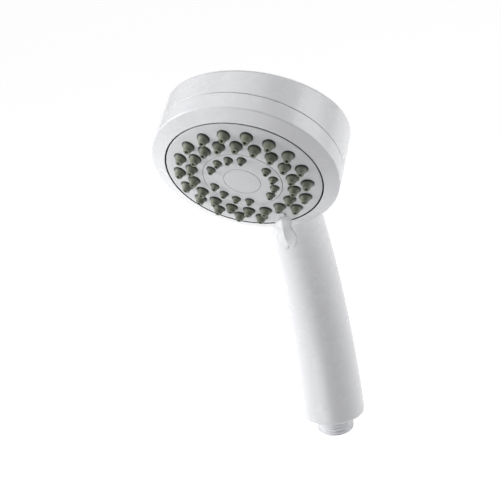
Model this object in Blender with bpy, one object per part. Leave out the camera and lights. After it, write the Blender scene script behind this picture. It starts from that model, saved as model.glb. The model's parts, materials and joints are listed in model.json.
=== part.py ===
"""A handheld shower head: a handset with a turning spray face, a mode lever and a hose thread.

The part frame has its origin at the middle of the hose thread's end face, with +Z up along the
handle's lower end. The handle leans forward to -Y, and the spray leaves along -Y and down.
Pieces of the head are modelled in the head frame, whose origin is the middle of the spray face:
its x runs towards the handle, its y is the part's +X, and its z is the outward spray axis.
Pieces that turn with the spray face are modelled in the rotor frame, whose x is the mode lever.
"""
import math

import bmesh
import bpy
from mathutils import Matrix, Vector

MM = 0.001

# Clearances
FIT_GAP = 0.3 * MM          # between fixed pieces that touch
SEAT_GAP = 0.2 * MM         # between a seal, mat or washer and what it seats on
TURN_GAP = 0.5 * MM         # round the turning face

# Handle
THREAD_LENGTH = 10.8 * MM   # hose thread standing out of the handle
HANDLE_BEND = 359.0 * MM    # radius of the handle's long forward curve
HANDLE_LENGTH = 163.5 * MM  # along the curve, from the lower end to the station in the head
HANDLE_END_RADIUS = 17.9 * MM
HANDLE_TOP_RADIUS = 14.45 * MM
HANDLE_NOSE = 28.0 * MM     # rounded upper end, inside and behind the head
END_ROUND = 1.2 * MM
WALL = 2.5 * MM             # housing wall

# Head
HEAD_TILT = math.radians(33.6)   # spray axis below level
HEAD_REACH = 40.1 * MM           # from the handle's top station to the spray axis
HEAD_DEPTH = 33.7 * MM           # from the handle's top station forward to the face
HEAD_RADIUS = 47.5 * MM
REAR_DRAFT = 0.7 * MM
SEAM_DEPTH = 12.4 * MM           # seam between bezel and housing
REAR_DEPTH = 36.4 * MM           # back edge plane behind the face, on the spray axis
REAR_TILT = math.radians(10.2)   # the back edge plane is deeper towards the handle
REAR_ROUND = 2.0 * MM
INNER_ROUND = 0.8 * MM           # least rounding inside the back edge
REAR_CROWN = 3.5 * MM

# Bezel
RIM_DROP = 3.3 * MM
RIM_ROUND = 0.7 * MM
LIP_BEVEL = 0.3 * MM
LIP_WALL = 1.25 * MM
LIP_DEPTH = 8.0 * MM
SKIRT_WALL = 1.5 * MM
SKIRT_DEPTH = 17.3 * MM

# Spray face
PLATE_RADIUS = 39.45 * MM
PLATE_BEVEL = 0.4 * MM
DOME_HEIGHT = 4.15 * MM
PLATE_WALL = 2.0 * MM
PLATE_SKIRT_WALL = 1.55 * MM
ROSE_RADIUS = 19.95 * MM
ROSE_FLANGE = 0.95 * MM
LEDGE_WIDTH = 0.85 * MM
CAP_RADIUS = 9.2 * MM
CAP_WALL = 1.1 * MM
CAP_BORE_RADIUS = 7.8 * MM
ROSE_FLOOR_DEPTH = 3.0 * MM
ROSE_FLOOR_RADIUS = 13.4 * MM
MAT_WALL = 1.4 * MM

# Nozzles
OUTER_RING_RADIUS = 32.3 * MM
MIDDLE_RING_RADIUS = 25.8 * MM
INNER_RING_RADIUS = 16.3 * MM
RING_COUNT = 18             # places in the outer and in the middle ring
INNER_COUNT = 15            # places in the inner ring, every fifth one left plain
NOZZLE_RADIUS = 3.1 * MM
NOZZLE_TIP_RADIUS = 1.45 * MM
NOZZLE_RISE = 3.7 * MM
INNER_NOZZLE_RADIUS = 2.2 * MM
INNER_NOZZLE_TIP_RADIUS = 1.15 * MM
INNER_NOZZLE_RISE = 2.5 * MM
JET_RADIUS = 0.6 * MM
NOZZLE_HOLE_GAP = 0.15 * MM

# Mode lever
LEVER_ANGLE = math.radians(19.5)   # lever at rest, from the handle's plane towards +X
MODE_STEP = math.radians(19.5)     # turn between modes
TENON_RADIUS = 2.3 * MM

# Rotor and valve, as depths behind the face
ROTOR_BACK = 17.0 * MM
ROTOR_FLOOR_WALL = 3.0 * MM
ROTOR_RIM_WALL = 1.6 * MM
DIVIDER_INNER_RADIUS = 18.9 * MM
DIVIDER_OUTER_RADIUS = 22.3 * MM
HUB_RADIUS = 9.0 * MM
HUB_POCKET_RADIUS = 7.6 * MM
SPINDLE_RADIUS = 5.0 * MM
SPINDLE_TOP = 9.0 * MM
WASHER_RADIUS = 7.1 * MM
WASHER_WALL = 1.0 * MM
PIVOT_HEAD_RADIUS = 3.8 * MM
PIVOT_HEAD_HEIGHT = 2.4 * MM
PIVOT_SHANK_RADIUS = 1.9 * MM
PIVOT_SHANK_LENGTH = 12.0 * MM
HUB_SEAL_SECTION = 0.55 * MM
VALVE_GAP = 1.0 * MM        # between rotor and valve body, bridged by the port seal
VALVE_WALL = 4.0 * MM
VALVE_RADIUS = 43.0 * MM
PORT_INNER_RADIUS = 16.5 * MM
PORT_OUTER_RADIUS = 24.6 * MM
PORT_HOLE_RADIUS = 2.0 * MM
PORT_BORE_RADIUS = 2.2 * MM
PORT_SEAL_WALL = 1.2 * MM
PORT_SEAL_HEIGHT = 2.2 * MM
PORT_POCKET_DEPTH = 4.5 * MM
PORT_SPRING_WIRE = 0.35 * MM
PORT_SPRING_SETBACK = 0.55 * MM   # middle of the wire, outside the port's bore
PORT_SPRING_TURNS = 3
TOWER_HALF_WIDTH = 6.0 * MM
ROTOR_SCREW_RING = 11.4 * MM
ROTOR_BOSS_RADIUS = 1.9 * MM
ROTOR_SHANK_RADIUS = 0.95 * MM
ROTOR_HEAD_RADIUS = 1.8 * MM
ROTOR_HEAD_HEIGHT = 1.5 * MM
ROTOR_SHANK_LENGTH = 7.5 * MM
VALVE_SCREW_RING = 39.8 * MM
VALVE_SCREW_ANGLES = (45, 180, 315)
BOSS_RADIUS = 3.2 * MM
SCREW_SHANK_RADIUS = 1.2 * MM
SCREW_HEAD_RADIUS = 2.6 * MM
SCREW_HEAD_HEIGHT = 1.6 * MM
SCREW_LENGTH = 3.2 * MM     # of shank in the boss, past the valve body
STOP_RING = 35.6 * MM
STOP_RADIUS = 1.8 * MM
STOP_LENGTH = 3.5 * MM
CLICK_RING = 30.5 * MM
CLICK_ANGLE = math.pi
CLICK_HALF_LENGTH = 8.0 * MM
CLICK_WIDTH = 4.0 * MM
CLICK_STRIP = 0.35 * MM
CLICK_CREST_HALF = 1.3 * MM     # half length of the crest
CLICK_BOW_GAP = 0.7 * MM        # between the strip's bow and the rotor
CLICK_POCKET_DEPTH = 3.0 * MM
NOTCH_RADIUS = 1.8 * MM
NOTCH_DEPTH = 0.9 * MM

# Water tube and hose spigot
TUBE_END_REACH = 30.0 * MM
TUBE_END_DEPTH = 31.0 * MM
TUBE_RADIUS = 7.0 * MM
TUBE_BORE_RADIUS = 4.6 * MM
SOCKET_LENGTH = 12.3 * MM
SOCKET_WALL = 2.3 * MM
GROOVE_DEPTH = 1.3 * MM
GROOVE_WIDTH = 1.9 * MM
GROOVE_SETBACK = 4.0 * MM
TUBE_SEAL_SECTION = 0.6 * MM
CHANNEL_WALL = 1.6 * MM
CHANNEL_END_REACH = 12.5 * MM
THREAD_RADIUS = 10.4775 * MM   # G1/2
THREAD_PITCH = 1.814 * MM
THREAD_DEPTH = 1.16 * MM
THREAD_CHAMFER = 0.9 * MM
INLET_RADIUS = 7.75 * MM
INLET_DEPTH = 10.0 * MM
FLANGE_LENGTH = 5.0 * MM
LEDGE_LENGTH = 6.5 * MM
STRAINER_INSET = 4.0 * MM
STRAINER_WALL = 1.0 * MM
REGULATOR_LENGTH = 4.2 * MM
REGULATOR_BORE = 2.4 * MM
REGULATOR_CONE = 1.2 * MM

# Facets
LARGE = 40                  # sides of the head's round shapes
MEDIUM = 20
SMALL = 12
TINY = 6
HANDLE_STEPS = 7
TUBE_FACETS = 16
TUBE_STEPS = 9
DOME_EDGES = (34.0 * MM, 27.0 * MM)   # radii of the plate's edges between rim and opening
MERGE = 0.001 * MM
OVERCUT = 2.0 * MM          # how far a cutter runs past what it cuts

# Finishes: colour, roughness and metal share
WHITE = ((0.86, 0.87, 0.88), 0.25, 0.0)
SATIN = ((0.80, 0.81, 0.82), 0.40, 0.0)
INNER_WHITE = ((0.74, 0.75, 0.76), 0.45, 0.0)
RUBBER = ((0.30, 0.32, 0.24), 0.60, 0.0)
BLACK_RUBBER = ((0.03, 0.03, 0.03), 0.65, 0.0)
STEEL = ((0.62, 0.63, 0.65), 0.28, 1.0)


# Frames

SPRAY = Vector((0, -math.cos(HEAD_TILT), -math.sin(HEAD_TILT)))
TOWARDS_HANDLE = Vector((0, math.sin(HEAD_TILT), -math.cos(HEAD_TILT)))
RIGHT = Vector((1, 0, 0))


def arc_frame(base, bend, along, angle_limit=math.pi / 2):
    """Point, perpendicular and forward direction on a path up the z axis that bends to -Y.

    The bend starts at the height base and stops at angle_limit, with straight runs on both sides.
    """
    angle = min(max(along / bend, 0), angle_limit)
    forward = Vector((0, -math.sin(angle), math.cos(angle)))
    point = Vector((0, -bend * (1 - math.cos(angle)), base + bend * math.sin(angle)))
    point += (along - bend * angle) * forward
    return point, Vector((0, math.cos(angle), math.sin(angle))), forward


def handle_frame(along):
    return arc_frame(THREAD_LENGTH, HANDLE_BEND, along)


HANDLE_TOP = handle_frame(HANDLE_LENGTH)[0]
FACE_CENTRE = HANDLE_TOP - HEAD_REACH * TOWARDS_HANDLE + HEAD_DEPTH * SPRAY
TUBE_END = FACE_CENTRE + TUBE_END_REACH * TOWARDS_HANDLE - TUBE_END_DEPTH * SPRAY
SPIGOT_TOP = INLET_DEPTH + LEDGE_LENGTH + SOCKET_LENGTH
# The tube is straight in both sockets, and bends evenly between them.
TUBE_ANGLE = 2 * math.atan(abs(TUBE_END.y) / (TUBE_END.z - SPIGOT_TOP + SOCKET_LENGTH))
TUBE_BEND = (abs(TUBE_END.y) / math.sin(TUBE_ANGLE) - SOCKET_LENGTH) / math.tan(TUBE_ANGLE / 2)
TUBE_START = FIT_GAP - SOCKET_LENGTH
TUBE_LENGTH = TUBE_BEND * TUBE_ANGLE + SOCKET_LENGTH


def tube_frame(along):
    """Place on the water tube, counted from where it leaves the spigot's socket."""
    return arc_frame(SPIGOT_TOP, TUBE_BEND, along, TUBE_ANGLE)


def empty(name, matrix, parent=None):
    """An empty that other pieces are placed by."""
    found = bpy.data.objects.new(name, None)
    found.parent = parent
    found.matrix_local = matrix
    bpy.context.collection.objects.link(found)
    return found


def clear_scene():
    for found in list(bpy.data.objects):
        bpy.data.objects.remove(found, do_unlink=True)


# Shapes

def dress(found, name, finish):
    """Gives a piece its own material."""
    colour, roughness, metallic = finish
    material = bpy.data.materials.new(name)
    material.use_nodes = True
    shader = material.node_tree.nodes["Principled BSDF"]
    shader.inputs["Base Color"].default_value = (*colour, 1)
    shader.inputs["Roughness"].default_value = roughness
    shader.inputs["Metallic"].default_value = metallic
    found.data.materials.append(material)


def place(shape, name, parent, finish=None):
    """Makes an object of a bmesh. Without a finish it is a guide that only shapes other pieces."""
    bmesh.ops.remove_doubles(shape, verts=shape.verts, dist=MERGE)
    bmesh.ops.recalc_face_normals(shape, faces=shape.faces)
    mesh = bpy.data.meshes.new(name)
    shape.to_mesh(mesh)
    shape.free()
    mesh.shade_smooth()
    mesh.set_sharp_from_angle(angle=math.radians(35))
    found = bpy.data.objects.new(name, mesh)
    found.parent = parent
    bpy.context.collection.objects.link(found)
    if finish:
        dress(found, name, finish)
    else:
        found.hide_render = True
        found.display_type = "WIRE"
    return found


def turned(name, profile, parent, finish=None, facets=LARGE, at=(0, 0), closed=True, first=0):
    """A profile of (radius, height) points spun round the z axis through at, from the angle first."""
    shape = bmesh.new()
    points = [shape.verts.new((*polar(radius, first), height)) for radius, height in profile]
    pairs = list(zip(points, points[1:]))
    if closed:
        pairs.append((points[-1], points[0]))
    edges = [shape.edges.new(pair) for pair in pairs]
    bmesh.ops.spin(shape, geom=points + edges, cent=(0, 0, 0), axis=(0, 0, 1),
                   angle=math.tau, steps=facets, use_merge=True)
    bmesh.ops.translate(shape, verts=shape.verts, vec=(at[0], at[1], 0))
    return place(shape, name, parent, finish)


def disc(name, radius, low, high, parent, finish=None, facets=MEDIUM, at=(0, 0)):
    """A plain round bar along z, whose facets miss the middle plane's vertices."""
    profile = [(0, low), (radius, low), (radius, high), (0, high)]
    return turned(name, profile, parent, finish, facets, at, closed=False, first=math.pi / facets)


def skin(name, rings, parent, finish=None, closed=False):
    """Faces between neighbouring rings of equal length, with flat ends, or joined end to start."""
    shape = bmesh.new()
    loops = [[shape.verts.new(point) for point in ring] for ring in rings]
    count = len(loops[0])
    neighbours = list(zip(loops, loops[1:]))
    if closed:
        neighbours.append((loops[-1], loops[0]))
    for lower, upper in neighbours:
        for k in range(count):
            after = (k + 1) % count
            shape.faces.new((lower[k], lower[after], upper[after], upper[k]))
    if not closed:
        shape.faces.new(loops[0][::-1])
        shape.faces.new(loops[-1])
    return place(shape, name, parent, finish)


def round_ring(point, across, radius, facets):
    """A circle about point, in the plane of the part's X and across."""
    turns = [math.tau * (k + 0.5) / facets for k in range(facets)]
    return [point + radius * (math.cos(a) * RIGHT + math.sin(a) * across) for a in turns]


def rod(name, start, end, radius, facets=MEDIUM):
    """A round guide bar between two points of the middle plane."""
    across = RIGHT.cross(end - start).normalized()
    rings = [round_ring(point, across, radius, facets) for point in (start, end)]
    return skin(name, rings, None)


def stadium(centre, half_straight, radius, height, facets=SMALL):
    """Round-ended slot outline along x, at one height."""
    outline = []
    for k in range(facets):
        angle = math.tau * (k + 0.5) / facets - math.pi / 2
        side = half_straight if math.cos(angle) > 0 else -half_straight
        outline.append((centre + side + radius * math.cos(angle), radius * math.sin(angle), height))
    return outline


def stepped_hole(name, at, parent, steps):
    """A guide for a hole of steps (radius, low, high), from the lowest up."""
    profile = [(0, steps[0][1])]
    for radius, low, high in steps:
        profile += [(radius, low), (radius, high)]
    profile.append((0, steps[-1][2]))
    return turned(name, profile, parent, None, SMALL, at, closed=False, first=math.pi / SMALL)


def ring_seal(name, major, section, height, parent, finish=BLACK_RUBBER, facets=MEDIUM):
    """A round rubber ring about the z axis."""
    turns = [math.tau * k / TINY for k in range(TINY)]
    profile = [(major + section * math.cos(a), height + section * math.sin(a)) for a in turns]
    return turned(name, profile, parent, finish, facets)


def boolean(target, operation, *tools):
    for tool in tools:
        change = target.modifiers.new(tool.name, "BOOLEAN")
        change.operation = operation
        change.object = tool


def fuse(target, *tools):
    boolean(target, "UNION", *tools)


def cut(target, *tools):
    boolean(target, "DIFFERENCE", *tools)


def many(name, make, spots, parent):
    """One guide object with a small turned solid at each (x, y), whose profile is make(x, y)."""
    shape = bmesh.new()
    for x, y in spots:
        part = bmesh.new()
        first = math.pi / (2 * TINY)
        points = [part.verts.new((*polar(radius, first), height)) for radius, height in make(x, y)]
        edges = [part.edges.new(pair) for pair in zip(points, points[1:])]
        bmesh.ops.spin(part, geom=points + edges, cent=(0, 0, 0), axis=(0, 0, 1),
                       angle=math.tau, steps=TINY, use_merge=True)
        bmesh.ops.translate(part, verts=part.verts, vec=(x, y, 0))
        mesh = bpy.data.meshes.new(name)
        part.to_mesh(mesh)
        part.free()
        shape.from_mesh(mesh)
        bpy.data.meshes.remove(mesh)
    return place(shape, name, parent)


def polar(radius, angle):
    return radius * math.cos(angle), radius * math.sin(angle)


# Levels

def dome(radius):
    """Height of the spray face's outer surface."""
    return DOME_HEIGHT * (1 - (radius / PLATE_RADIUS) ** 2)


def mat_top(radius):
    return dome(radius) - PLATE_WALL - SEAT_GAP


def wall_top(radius):
    """Top of the rotor's walls, under a mat's edge."""
    return mat_top(radius) - MAT_WALL - SEAT_GAP


def handle_radius(along):
    """The handle narrows evenly from its lower end to its top station."""
    return HANDLE_END_RADIUS + (HANDLE_TOP_RADIUS - HANDLE_END_RADIUS) * along / HANDLE_LENGTH


def rear_level(x):
    return -(REAR_DEPTH + x * math.tan(REAR_TILT))


# Housing

def handle_body(name, inset, overrun=0):
    """The handle's round bar on its curve and its rounded nose, set in all over by inset.

    The outside has a rounded lower end. An inset body runs past that end by overrun.
    """
    point, across, forward = handle_frame(0)
    if inset:
        ends = [(-overrun, inset)]
    else:
        ends = [(0, END_ROUND), (0.3 * END_ROUND, 0.3 * END_ROUND)]
    rings = [round_ring(point + rise * forward, across, handle_radius(0) - drop, MEDIUM)
             for rise, drop in ends]
    for k in range(HANDLE_STEPS + 1):
        along = END_ROUND + (HANDLE_LENGTH - END_ROUND) * k / HANDLE_STEPS
        point, across, forward = handle_frame(along)
        rings.append(round_ring(point, across, handle_radius(along) - inset, MEDIUM))
    for share in (0.25, 0.5, 0.7, 0.85, 0.95, 0.99):
        run = share * (HANDLE_NOSE - inset)
        lean = 1 - (1 - share) ** 2
        level = across.lerp(-SPRAY, lean).normalized()
        radius = (HANDLE_TOP_RADIUS - inset) * math.sqrt(1 - share ** 2)
        rings.append(round_ring(HANDLE_TOP - run * TOWARDS_HANDLE, level, radius, MEDIUM))
    return skin(name, rings, None)


def drum_body(name, inset, front, head, finish=None):
    """The head's round back half: straight side, rounded back edge, crowned and tilted back."""
    side = HEAD_RADIUS - inset
    back = side - REAR_DRAFT
    bend = max(REAR_ROUND - inset, INNER_ROUND)
    turns = [math.tau * k / LARGE for k in range(LARGE)]
    rings = [[(*polar(side, a), -front) for a in turns]]
    for fillet in (0, 45, 90):
        lean = math.radians(fillet)
        radius = back - bend * (1 - math.cos(lean))
        lift = inset + bend * (1 - math.sin(lean))
        rings.append([(*polar(radius, a), rear_level(radius * math.cos(a)) + lift) for a in turns])
    for share in (0.8, 0.55, 0.3):
        radius = (back - bend) * share
        lift = inset - REAR_CROWN * (1 - share ** 2)
        rings.append([(*polar(radius, a), rear_level(radius * math.cos(a)) + lift) for a in turns])
    rings.reverse()
    return skin(name, rings, head, finish)


def valve_screw_spots():
    return [polar(VALVE_SCREW_RING, math.radians(angle)) for angle in VALVE_SCREW_ANGLES]


def make_housing(head):
    """Drum and handle in one shell, with the three screw bosses of the valve body."""
    housing = drum_body("handle_housing", 0, SEAM_DEPTH + FIT_GAP / 2, head, WHITE)
    fuse(housing, handle_body("handle_solid", 0))
    cut(housing, drum_body("drum_cavity", WALL, SEAM_DEPTH - OVERCUT, head))
    cut(housing, handle_body("handle_cavity", WALL, OVERCUT))
    top = -(ROTOR_BACK + VALVE_GAP + VALVE_WALL + FIT_GAP)
    for number, (x, y) in enumerate(valve_screw_spots(), 1):
        crown = REAR_CROWN * (1 - (VALVE_SCREW_RING / (HEAD_RADIUS - REAR_ROUND)) ** 2)
        foot = rear_level(x) + WALL / 2 - crown
        fuse(housing, disc(f"boss_{number}", BOSS_RADIUS, foot, top, head, facets=SMALL, at=(x, y)))
        pilot = top - SCREW_LENGTH - FIT_GAP
        radius = SCREW_SHANK_RADIUS + SEAT_GAP
        cut(housing, disc(f"pilot_{number}", radius, pilot, top + OVERCUT, head,
                          facets=SMALL, at=(x, y)))


def make_bezel(head):
    """Front ring of the drum, with the sloping band, the lip round the face and the skirt inside."""
    lip = PLATE_RADIUS + TURN_GAP
    slope = RIM_DROP / (HEAD_RADIUS - lip)
    edge = HEAD_RADIUS - RIM_ROUND
    skirt = HEAD_RADIUS - WALL - REAR_DRAFT - FIT_GAP
    inside = skirt - SKIRT_WALL
    hollow = lip + LIP_WALL
    roof = WALL + slope * (hollow - lip)
    foot = SEAM_DEPTH - FIT_GAP / 2
    turned("bezel_ring", [
        (lip, -LIP_BEVEL), (lip + LIP_BEVEL, 0), (edge, -slope * (edge - lip)),
        (HEAD_RADIUS - 0.2 * RIM_ROUND, -RIM_DROP - 0.1 * RIM_ROUND),
        (HEAD_RADIUS, -RIM_DROP - RIM_ROUND), (HEAD_RADIUS, -foot), (skirt, -foot),
        (skirt, -SKIRT_DEPTH), (inside, -SKIRT_DEPTH), (inside, -roof - slope * (inside - hollow)),
        (hollow, -roof), (hollow, -LIP_DEPTH), (lip, -LIP_DEPTH),
    ], head, WHITE)


# Rotor

def outer_spots():
    """Outer ring, without the place where the lever stands, and the middle ring half a pitch on."""
    pitch = math.tau / RING_COUNT
    outer = [polar(OUTER_RING_RADIUS, k * pitch) for k in range(1, RING_COUNT)]
    middle = [polar(MIDDLE_RING_RADIUS, (k + 0.5) * pitch) for k in range(RING_COUNT)]
    return outer + middle


def inner_spots():
    """Three groups of four, with a plain place between them."""
    pitch = math.tau / INNER_COUNT
    return [polar(INNER_RING_RADIUS, k * pitch) for k in range(INNER_COUNT) if k % 5]


def nozzle_profile(base, tip, rise):
    """Outside of one nozzle, rooted in its mat."""
    def make(x, y):
        radius = math.hypot(x, y)
        foot, face = mat_top(radius) - MAT_WALL / 2, dome(radius)
        return [(0, foot), (base, foot), (base, face), (tip, face + rise), (0, face + rise)]
    return make


def jet_profile(base, rise):
    """The nozzle's water way, wide behind and narrow at the tip."""
    def make(x, y):
        radius = math.hypot(x, y)
        low, tip = mat_top(radius) - MAT_WALL - OVERCUT, dome(radius) + rise + OVERCUT
        return [(0, low), (0.6 * base, low), (JET_RADIUS, tip), (0, tip)]
    return make


def hole_profile(radius):
    def make(x, y):
        return [(0, -PLATE_WALL - OVERCUT), (radius, -PLATE_WALL - OVERCUT),
                (radius, DOME_HEIGHT + OVERCUT), (0, DOME_HEIGHT + OVERCUT)]
    return make


def make_mat(name, inner, outer, spots, base, tip, rise, rotor):
    """Rubber mat behind the face, with a nozzle at each spot."""
    middle = (inner + outer) / 2
    mat = turned(name, [
        (inner, mat_top(inner)), (middle, mat_top(middle)), (outer, mat_top(outer)),
        (outer, mat_top(outer) - MAT_WALL), (middle, mat_top(middle) - MAT_WALL),
        (inner, mat_top(inner) - MAT_WALL),
    ], rotor, RUBBER)
    fuse(mat, many(name + "_cones", nozzle_profile(base, tip, rise), spots, rotor))
    cut(mat, many(name + "_jets", jet_profile(base, rise), spots, rotor))
    return mat


def make_spray_plate(rotor):
    """Domed outer part of the face, with its skirt, nozzle holes and the lever's hole."""
    opening = ROSE_RADIUS + FIT_GAP
    ledge = opening - LEDGE_WIDTH
    step = dome(opening) - ROSE_FLANGE - SEAT_GAP
    inside = PLATE_RADIUS - PLATE_SKIRT_WALL
    foot = -(ROTOR_BACK - ROTOR_FLOOR_WALL - FIT_GAP)
    tops = [PLATE_RADIUS - PLATE_BEVEL, *DOME_EDGES, opening]
    unders = [ledge, *reversed(DOME_EDGES), inside]
    profile = [(PLATE_RADIUS, -PLATE_BEVEL)] + [(r, dome(r)) for r in tops]
    profile += [(opening, step), (ledge, step)]
    profile += [(r, dome(r) - PLATE_WALL) for r in unders]
    profile += [(inside, foot), (PLATE_RADIUS, foot)]
    plate = turned("spray_plate", profile, rotor, SATIN)
    cut(plate, many("plate_holes", hole_profile(NOZZLE_RADIUS + NOZZLE_HOLE_GAP), outer_spots(), rotor))
    cut(plate, disc("tenon_hole", TENON_RADIUS + SEAT_GAP, -PLATE_WALL - OVERCUT,
                    DOME_HEIGHT, rotor, facets=SMALL, at=(OUTER_RING_RADIUS, 0)))


def make_rose(rotor):
    """Middle disc of the face, with the screw bosses behind it and a recess for the cap."""
    recess = CAP_RADIUS + FIT_GAP
    shelf = dome(recess) - CAP_WALL - SEAT_GAP
    floor = dome(recess) - ROSE_FLOOR_DEPTH
    shank = ROSE_RADIUS - LEDGE_WIDTH
    middle = (recess + ROSE_RADIUS) / 2
    rose = turned("inner_rose", [
        (ROSE_RADIUS, dome(ROSE_RADIUS)), (middle, dome(middle)), (recess, dome(recess)),
        (recess, shelf), (CAP_BORE_RADIUS, shelf), (CAP_BORE_RADIUS, floor),
        (ROSE_FLOOR_RADIUS, floor), (ROSE_FLOOR_RADIUS, dome(ROSE_FLOOR_RADIUS) - PLATE_WALL),
        (shank, dome(shank) - PLATE_WALL), (shank, dome(ROSE_RADIUS) - ROSE_FLANGE),
        (ROSE_RADIUS, dome(ROSE_RADIUS) - ROSE_FLANGE),
    ], rotor, SATIN, facets=30)
    low = -(ROTOR_BACK - ROTOR_FLOOR_WALL - FIT_GAP)
    deep = -ROTOR_BACK + ROTOR_HEAD_HEIGHT + ROTOR_SHANK_LENGTH + FIT_GAP
    for number, spot in enumerate(rotor_screw_spots(), 1):
        fuse(rose, disc(f"rose_boss_{number}", ROTOR_BOSS_RADIUS, low, floor + PLATE_WALL / 2,
                        rotor, facets=SMALL, at=spot))
        cut(rose, disc(f"rose_pilot_{number}", ROTOR_SHANK_RADIUS + SEAT_GAP, low - OVERCUT, deep,
                       rotor, facets=SMALL, at=spot))
    cut(rose, many("rose_holes", hole_profile(INNER_NOZZLE_RADIUS + NOZZLE_HOLE_GAP), inner_spots(), rotor))


def make_cap(rotor):
    """Plain cap in the rose's recess, with a ring-shaped plug behind it."""
    plug = CAP_BORE_RADIUS - FIT_GAP
    under = dome(CAP_RADIUS) - CAP_WALL
    foot = dome(CAP_RADIUS) - ROSE_FLOOR_DEPTH - SEAT_GAP
    turned("centre_cap", [
        (0, dome(0)), (CAP_RADIUS / 2, dome(CAP_RADIUS / 2)), (CAP_RADIUS, dome(CAP_RADIUS)),
        (CAP_RADIUS, under), (plug, under), (plug, foot), (plug - CAP_WALL, foot),
        (plug - CAP_WALL, under), (0, under),
    ], rotor, SATIN, facets=MEDIUM, closed=False)


def make_distributor(rotor):
    """Back of the rotor: floor, rim and divider walls, hub, mode ports, click notches and stop pin."""
    back = -ROTOR_BACK
    floor = back + ROTOR_FLOOR_WALL
    rim = PLATE_RADIUS - PLATE_SKIRT_WALL - FIT_GAP
    rim_inside = rim - ROTOR_RIM_WALL
    bore = SPINDLE_RADIUS + FIT_GAP
    seat = -(SPINDLE_TOP + FIT_GAP)
    hub_top = dome(CAP_RADIUS + FIT_GAP) - ROSE_FLOOR_DEPTH - 2 * (HUB_SEAL_SECTION + SEAT_GAP)
    plate = turned("distributor_plate", [
        (bore, back), (PLATE_RADIUS, back), (PLATE_RADIUS, floor), (rim, floor),
        (rim, wall_top(rim)), (rim_inside, wall_top(rim_inside)), (rim_inside, floor),
        (DIVIDER_OUTER_RADIUS, floor), (DIVIDER_OUTER_RADIUS, wall_top(DIVIDER_OUTER_RADIUS)),
        (DIVIDER_INNER_RADIUS, wall_top(DIVIDER_INNER_RADIUS) - SEAT_GAP / 2),
        (DIVIDER_INNER_RADIUS, floor),
        (HUB_RADIUS, floor), (HUB_RADIUS, hub_top), (HUB_POCKET_RADIUS, hub_top),
        (HUB_POCKET_RADIUS, seat), (bore, seat),
    ], rotor, INNER_WHITE, facets=32)
    fuse(plate, disc("stop_pin", STOP_RADIUS, back - STOP_LENGTH, back + ROTOR_FLOOR_WALL / 2, rotor,
                     facets=SMALL, at=polar(STOP_RING, math.pi / 2)))
    ports = [(PORT_OUTER_RADIUS, -MODE_STEP), (PORT_OUTER_RADIUS, 0),
             (PORT_INNER_RADIUS, 0), (PORT_INNER_RADIUS, MODE_STEP)]
    for number, (radius, angle) in enumerate(ports, 1):
        cut(plate, disc(f"mode_port_{number}", PORT_HOLE_RADIUS, back - OVERCUT, floor + OVERCUT,
                        rotor, facets=SMALL, at=polar(radius, angle)))
    for number, spot in enumerate(rotor_screw_spots(), 1):
        seat = back + ROTOR_HEAD_HEIGHT
        cut(plate, stepped_hole(f"screw_way_{number}", spot, rotor, [
            (ROTOR_HEAD_RADIUS + FIT_GAP, back - OVERCUT, seat),
            (ROTOR_SHANK_RADIUS + FIT_GAP, seat, floor + OVERCUT)]))
    for step in (-1, 0, 1):
        angle = CLICK_ANGLE + step * MODE_STEP
        turn = Matrix.Rotation(angle, 4, "Z") @ Matrix.Translation((CLICK_RING, 0, 0))
        notch = bmesh.new()
        bmesh.ops.create_cone(notch, cap_ends=True, segments=SMALL, radius1=NOTCH_RADIUS,
                              radius2=NOTCH_RADIUS, depth=CLICK_WIDTH + 2 * FIT_GAP)
        lay = Matrix.Rotation(math.pi / 2, 4, "Y")
        lay = Matrix.Translation((0, 0, back - NOTCH_RADIUS + NOTCH_DEPTH)) @ lay
        bmesh.ops.transform(notch, matrix=turn @ lay, verts=notch.verts)
        cut(plate, place(notch, f"click_notch_{step + 2}", rotor))


def rotor_screw_spots():
    return [polar(ROTOR_SCREW_RING, math.radians(angle)) for angle in (60, 180, 300)]


def screw_profile(head_radius, head_low, head_high, shank_radius, shank_low):
    """A pan-head screw with its head above its shank."""
    rim = 0.3 * (head_high - head_low)
    return [(0, shank_low), (0.6 * shank_radius, shank_low), (shank_radius, shank_low + shank_radius),
            (shank_radius, head_low), (head_radius, head_low), (head_radius, head_high - rim),
            (head_radius - rim, head_high), (0, head_high)]


def make_lever(rotor):
    """A leaf-shaped tab on a narrow stem that stands forward and outward over the bezel."""
    foot = dome(OUTER_RING_RADIUS - TENON_RADIUS) - PLATE_WALL
    stations = [  # reach from the axis, height over the face's edge plane, half width, half thickness
        (32.3 * MM, foot, TENON_RADIUS, TENON_RADIUS),
        (32.3 * MM, dome(OUTER_RING_RADIUS) + SEAT_GAP, TENON_RADIUS, TENON_RADIUS),
        (33.9 * MM, 3.2 * MM, 3.9 * MM, 1.5 * MM),
        (35.5 * MM, 5.4 * MM, 5.4 * MM, 1.5 * MM),
        (37.7 * MM, 7.8 * MM, 4.4 * MM, 1.5 * MM),
        (40.0 * MM, 10.1 * MM, 5.3 * MM, 1.5 * MM),
        (42.5 * MM, 12.3 * MM, 5.4 * MM, 1.3 * MM),
        (44.0 * MM, 13.5 * MM, 4.7 * MM, 1.1 * MM),
        (45.0 * MM, 14.2 * MM, 2.8 * MM, 0.8 * MM),
    ]
    turns = [math.tau * k / SMALL for k in range(SMALL)]
    rings = []
    for k, (reach, height, half_width, half_thick) in enumerate(stations):
        before, after = stations[max(k - 1, 0)], stations[min(k + 1, len(stations) - 1)]
        lean = math.atan2(after[1] - before[1], after[0] - before[0])
        if k < 2:
            lean = math.pi / 2
        rings.append([(
            reach + half_thick * math.cos(a) * math.sin(lean), half_width * math.sin(a),
            height - half_thick * math.cos(a) * math.cos(lean)) for a in turns])
    skin("mode_lever", rings, rotor, WHITE)


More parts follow.
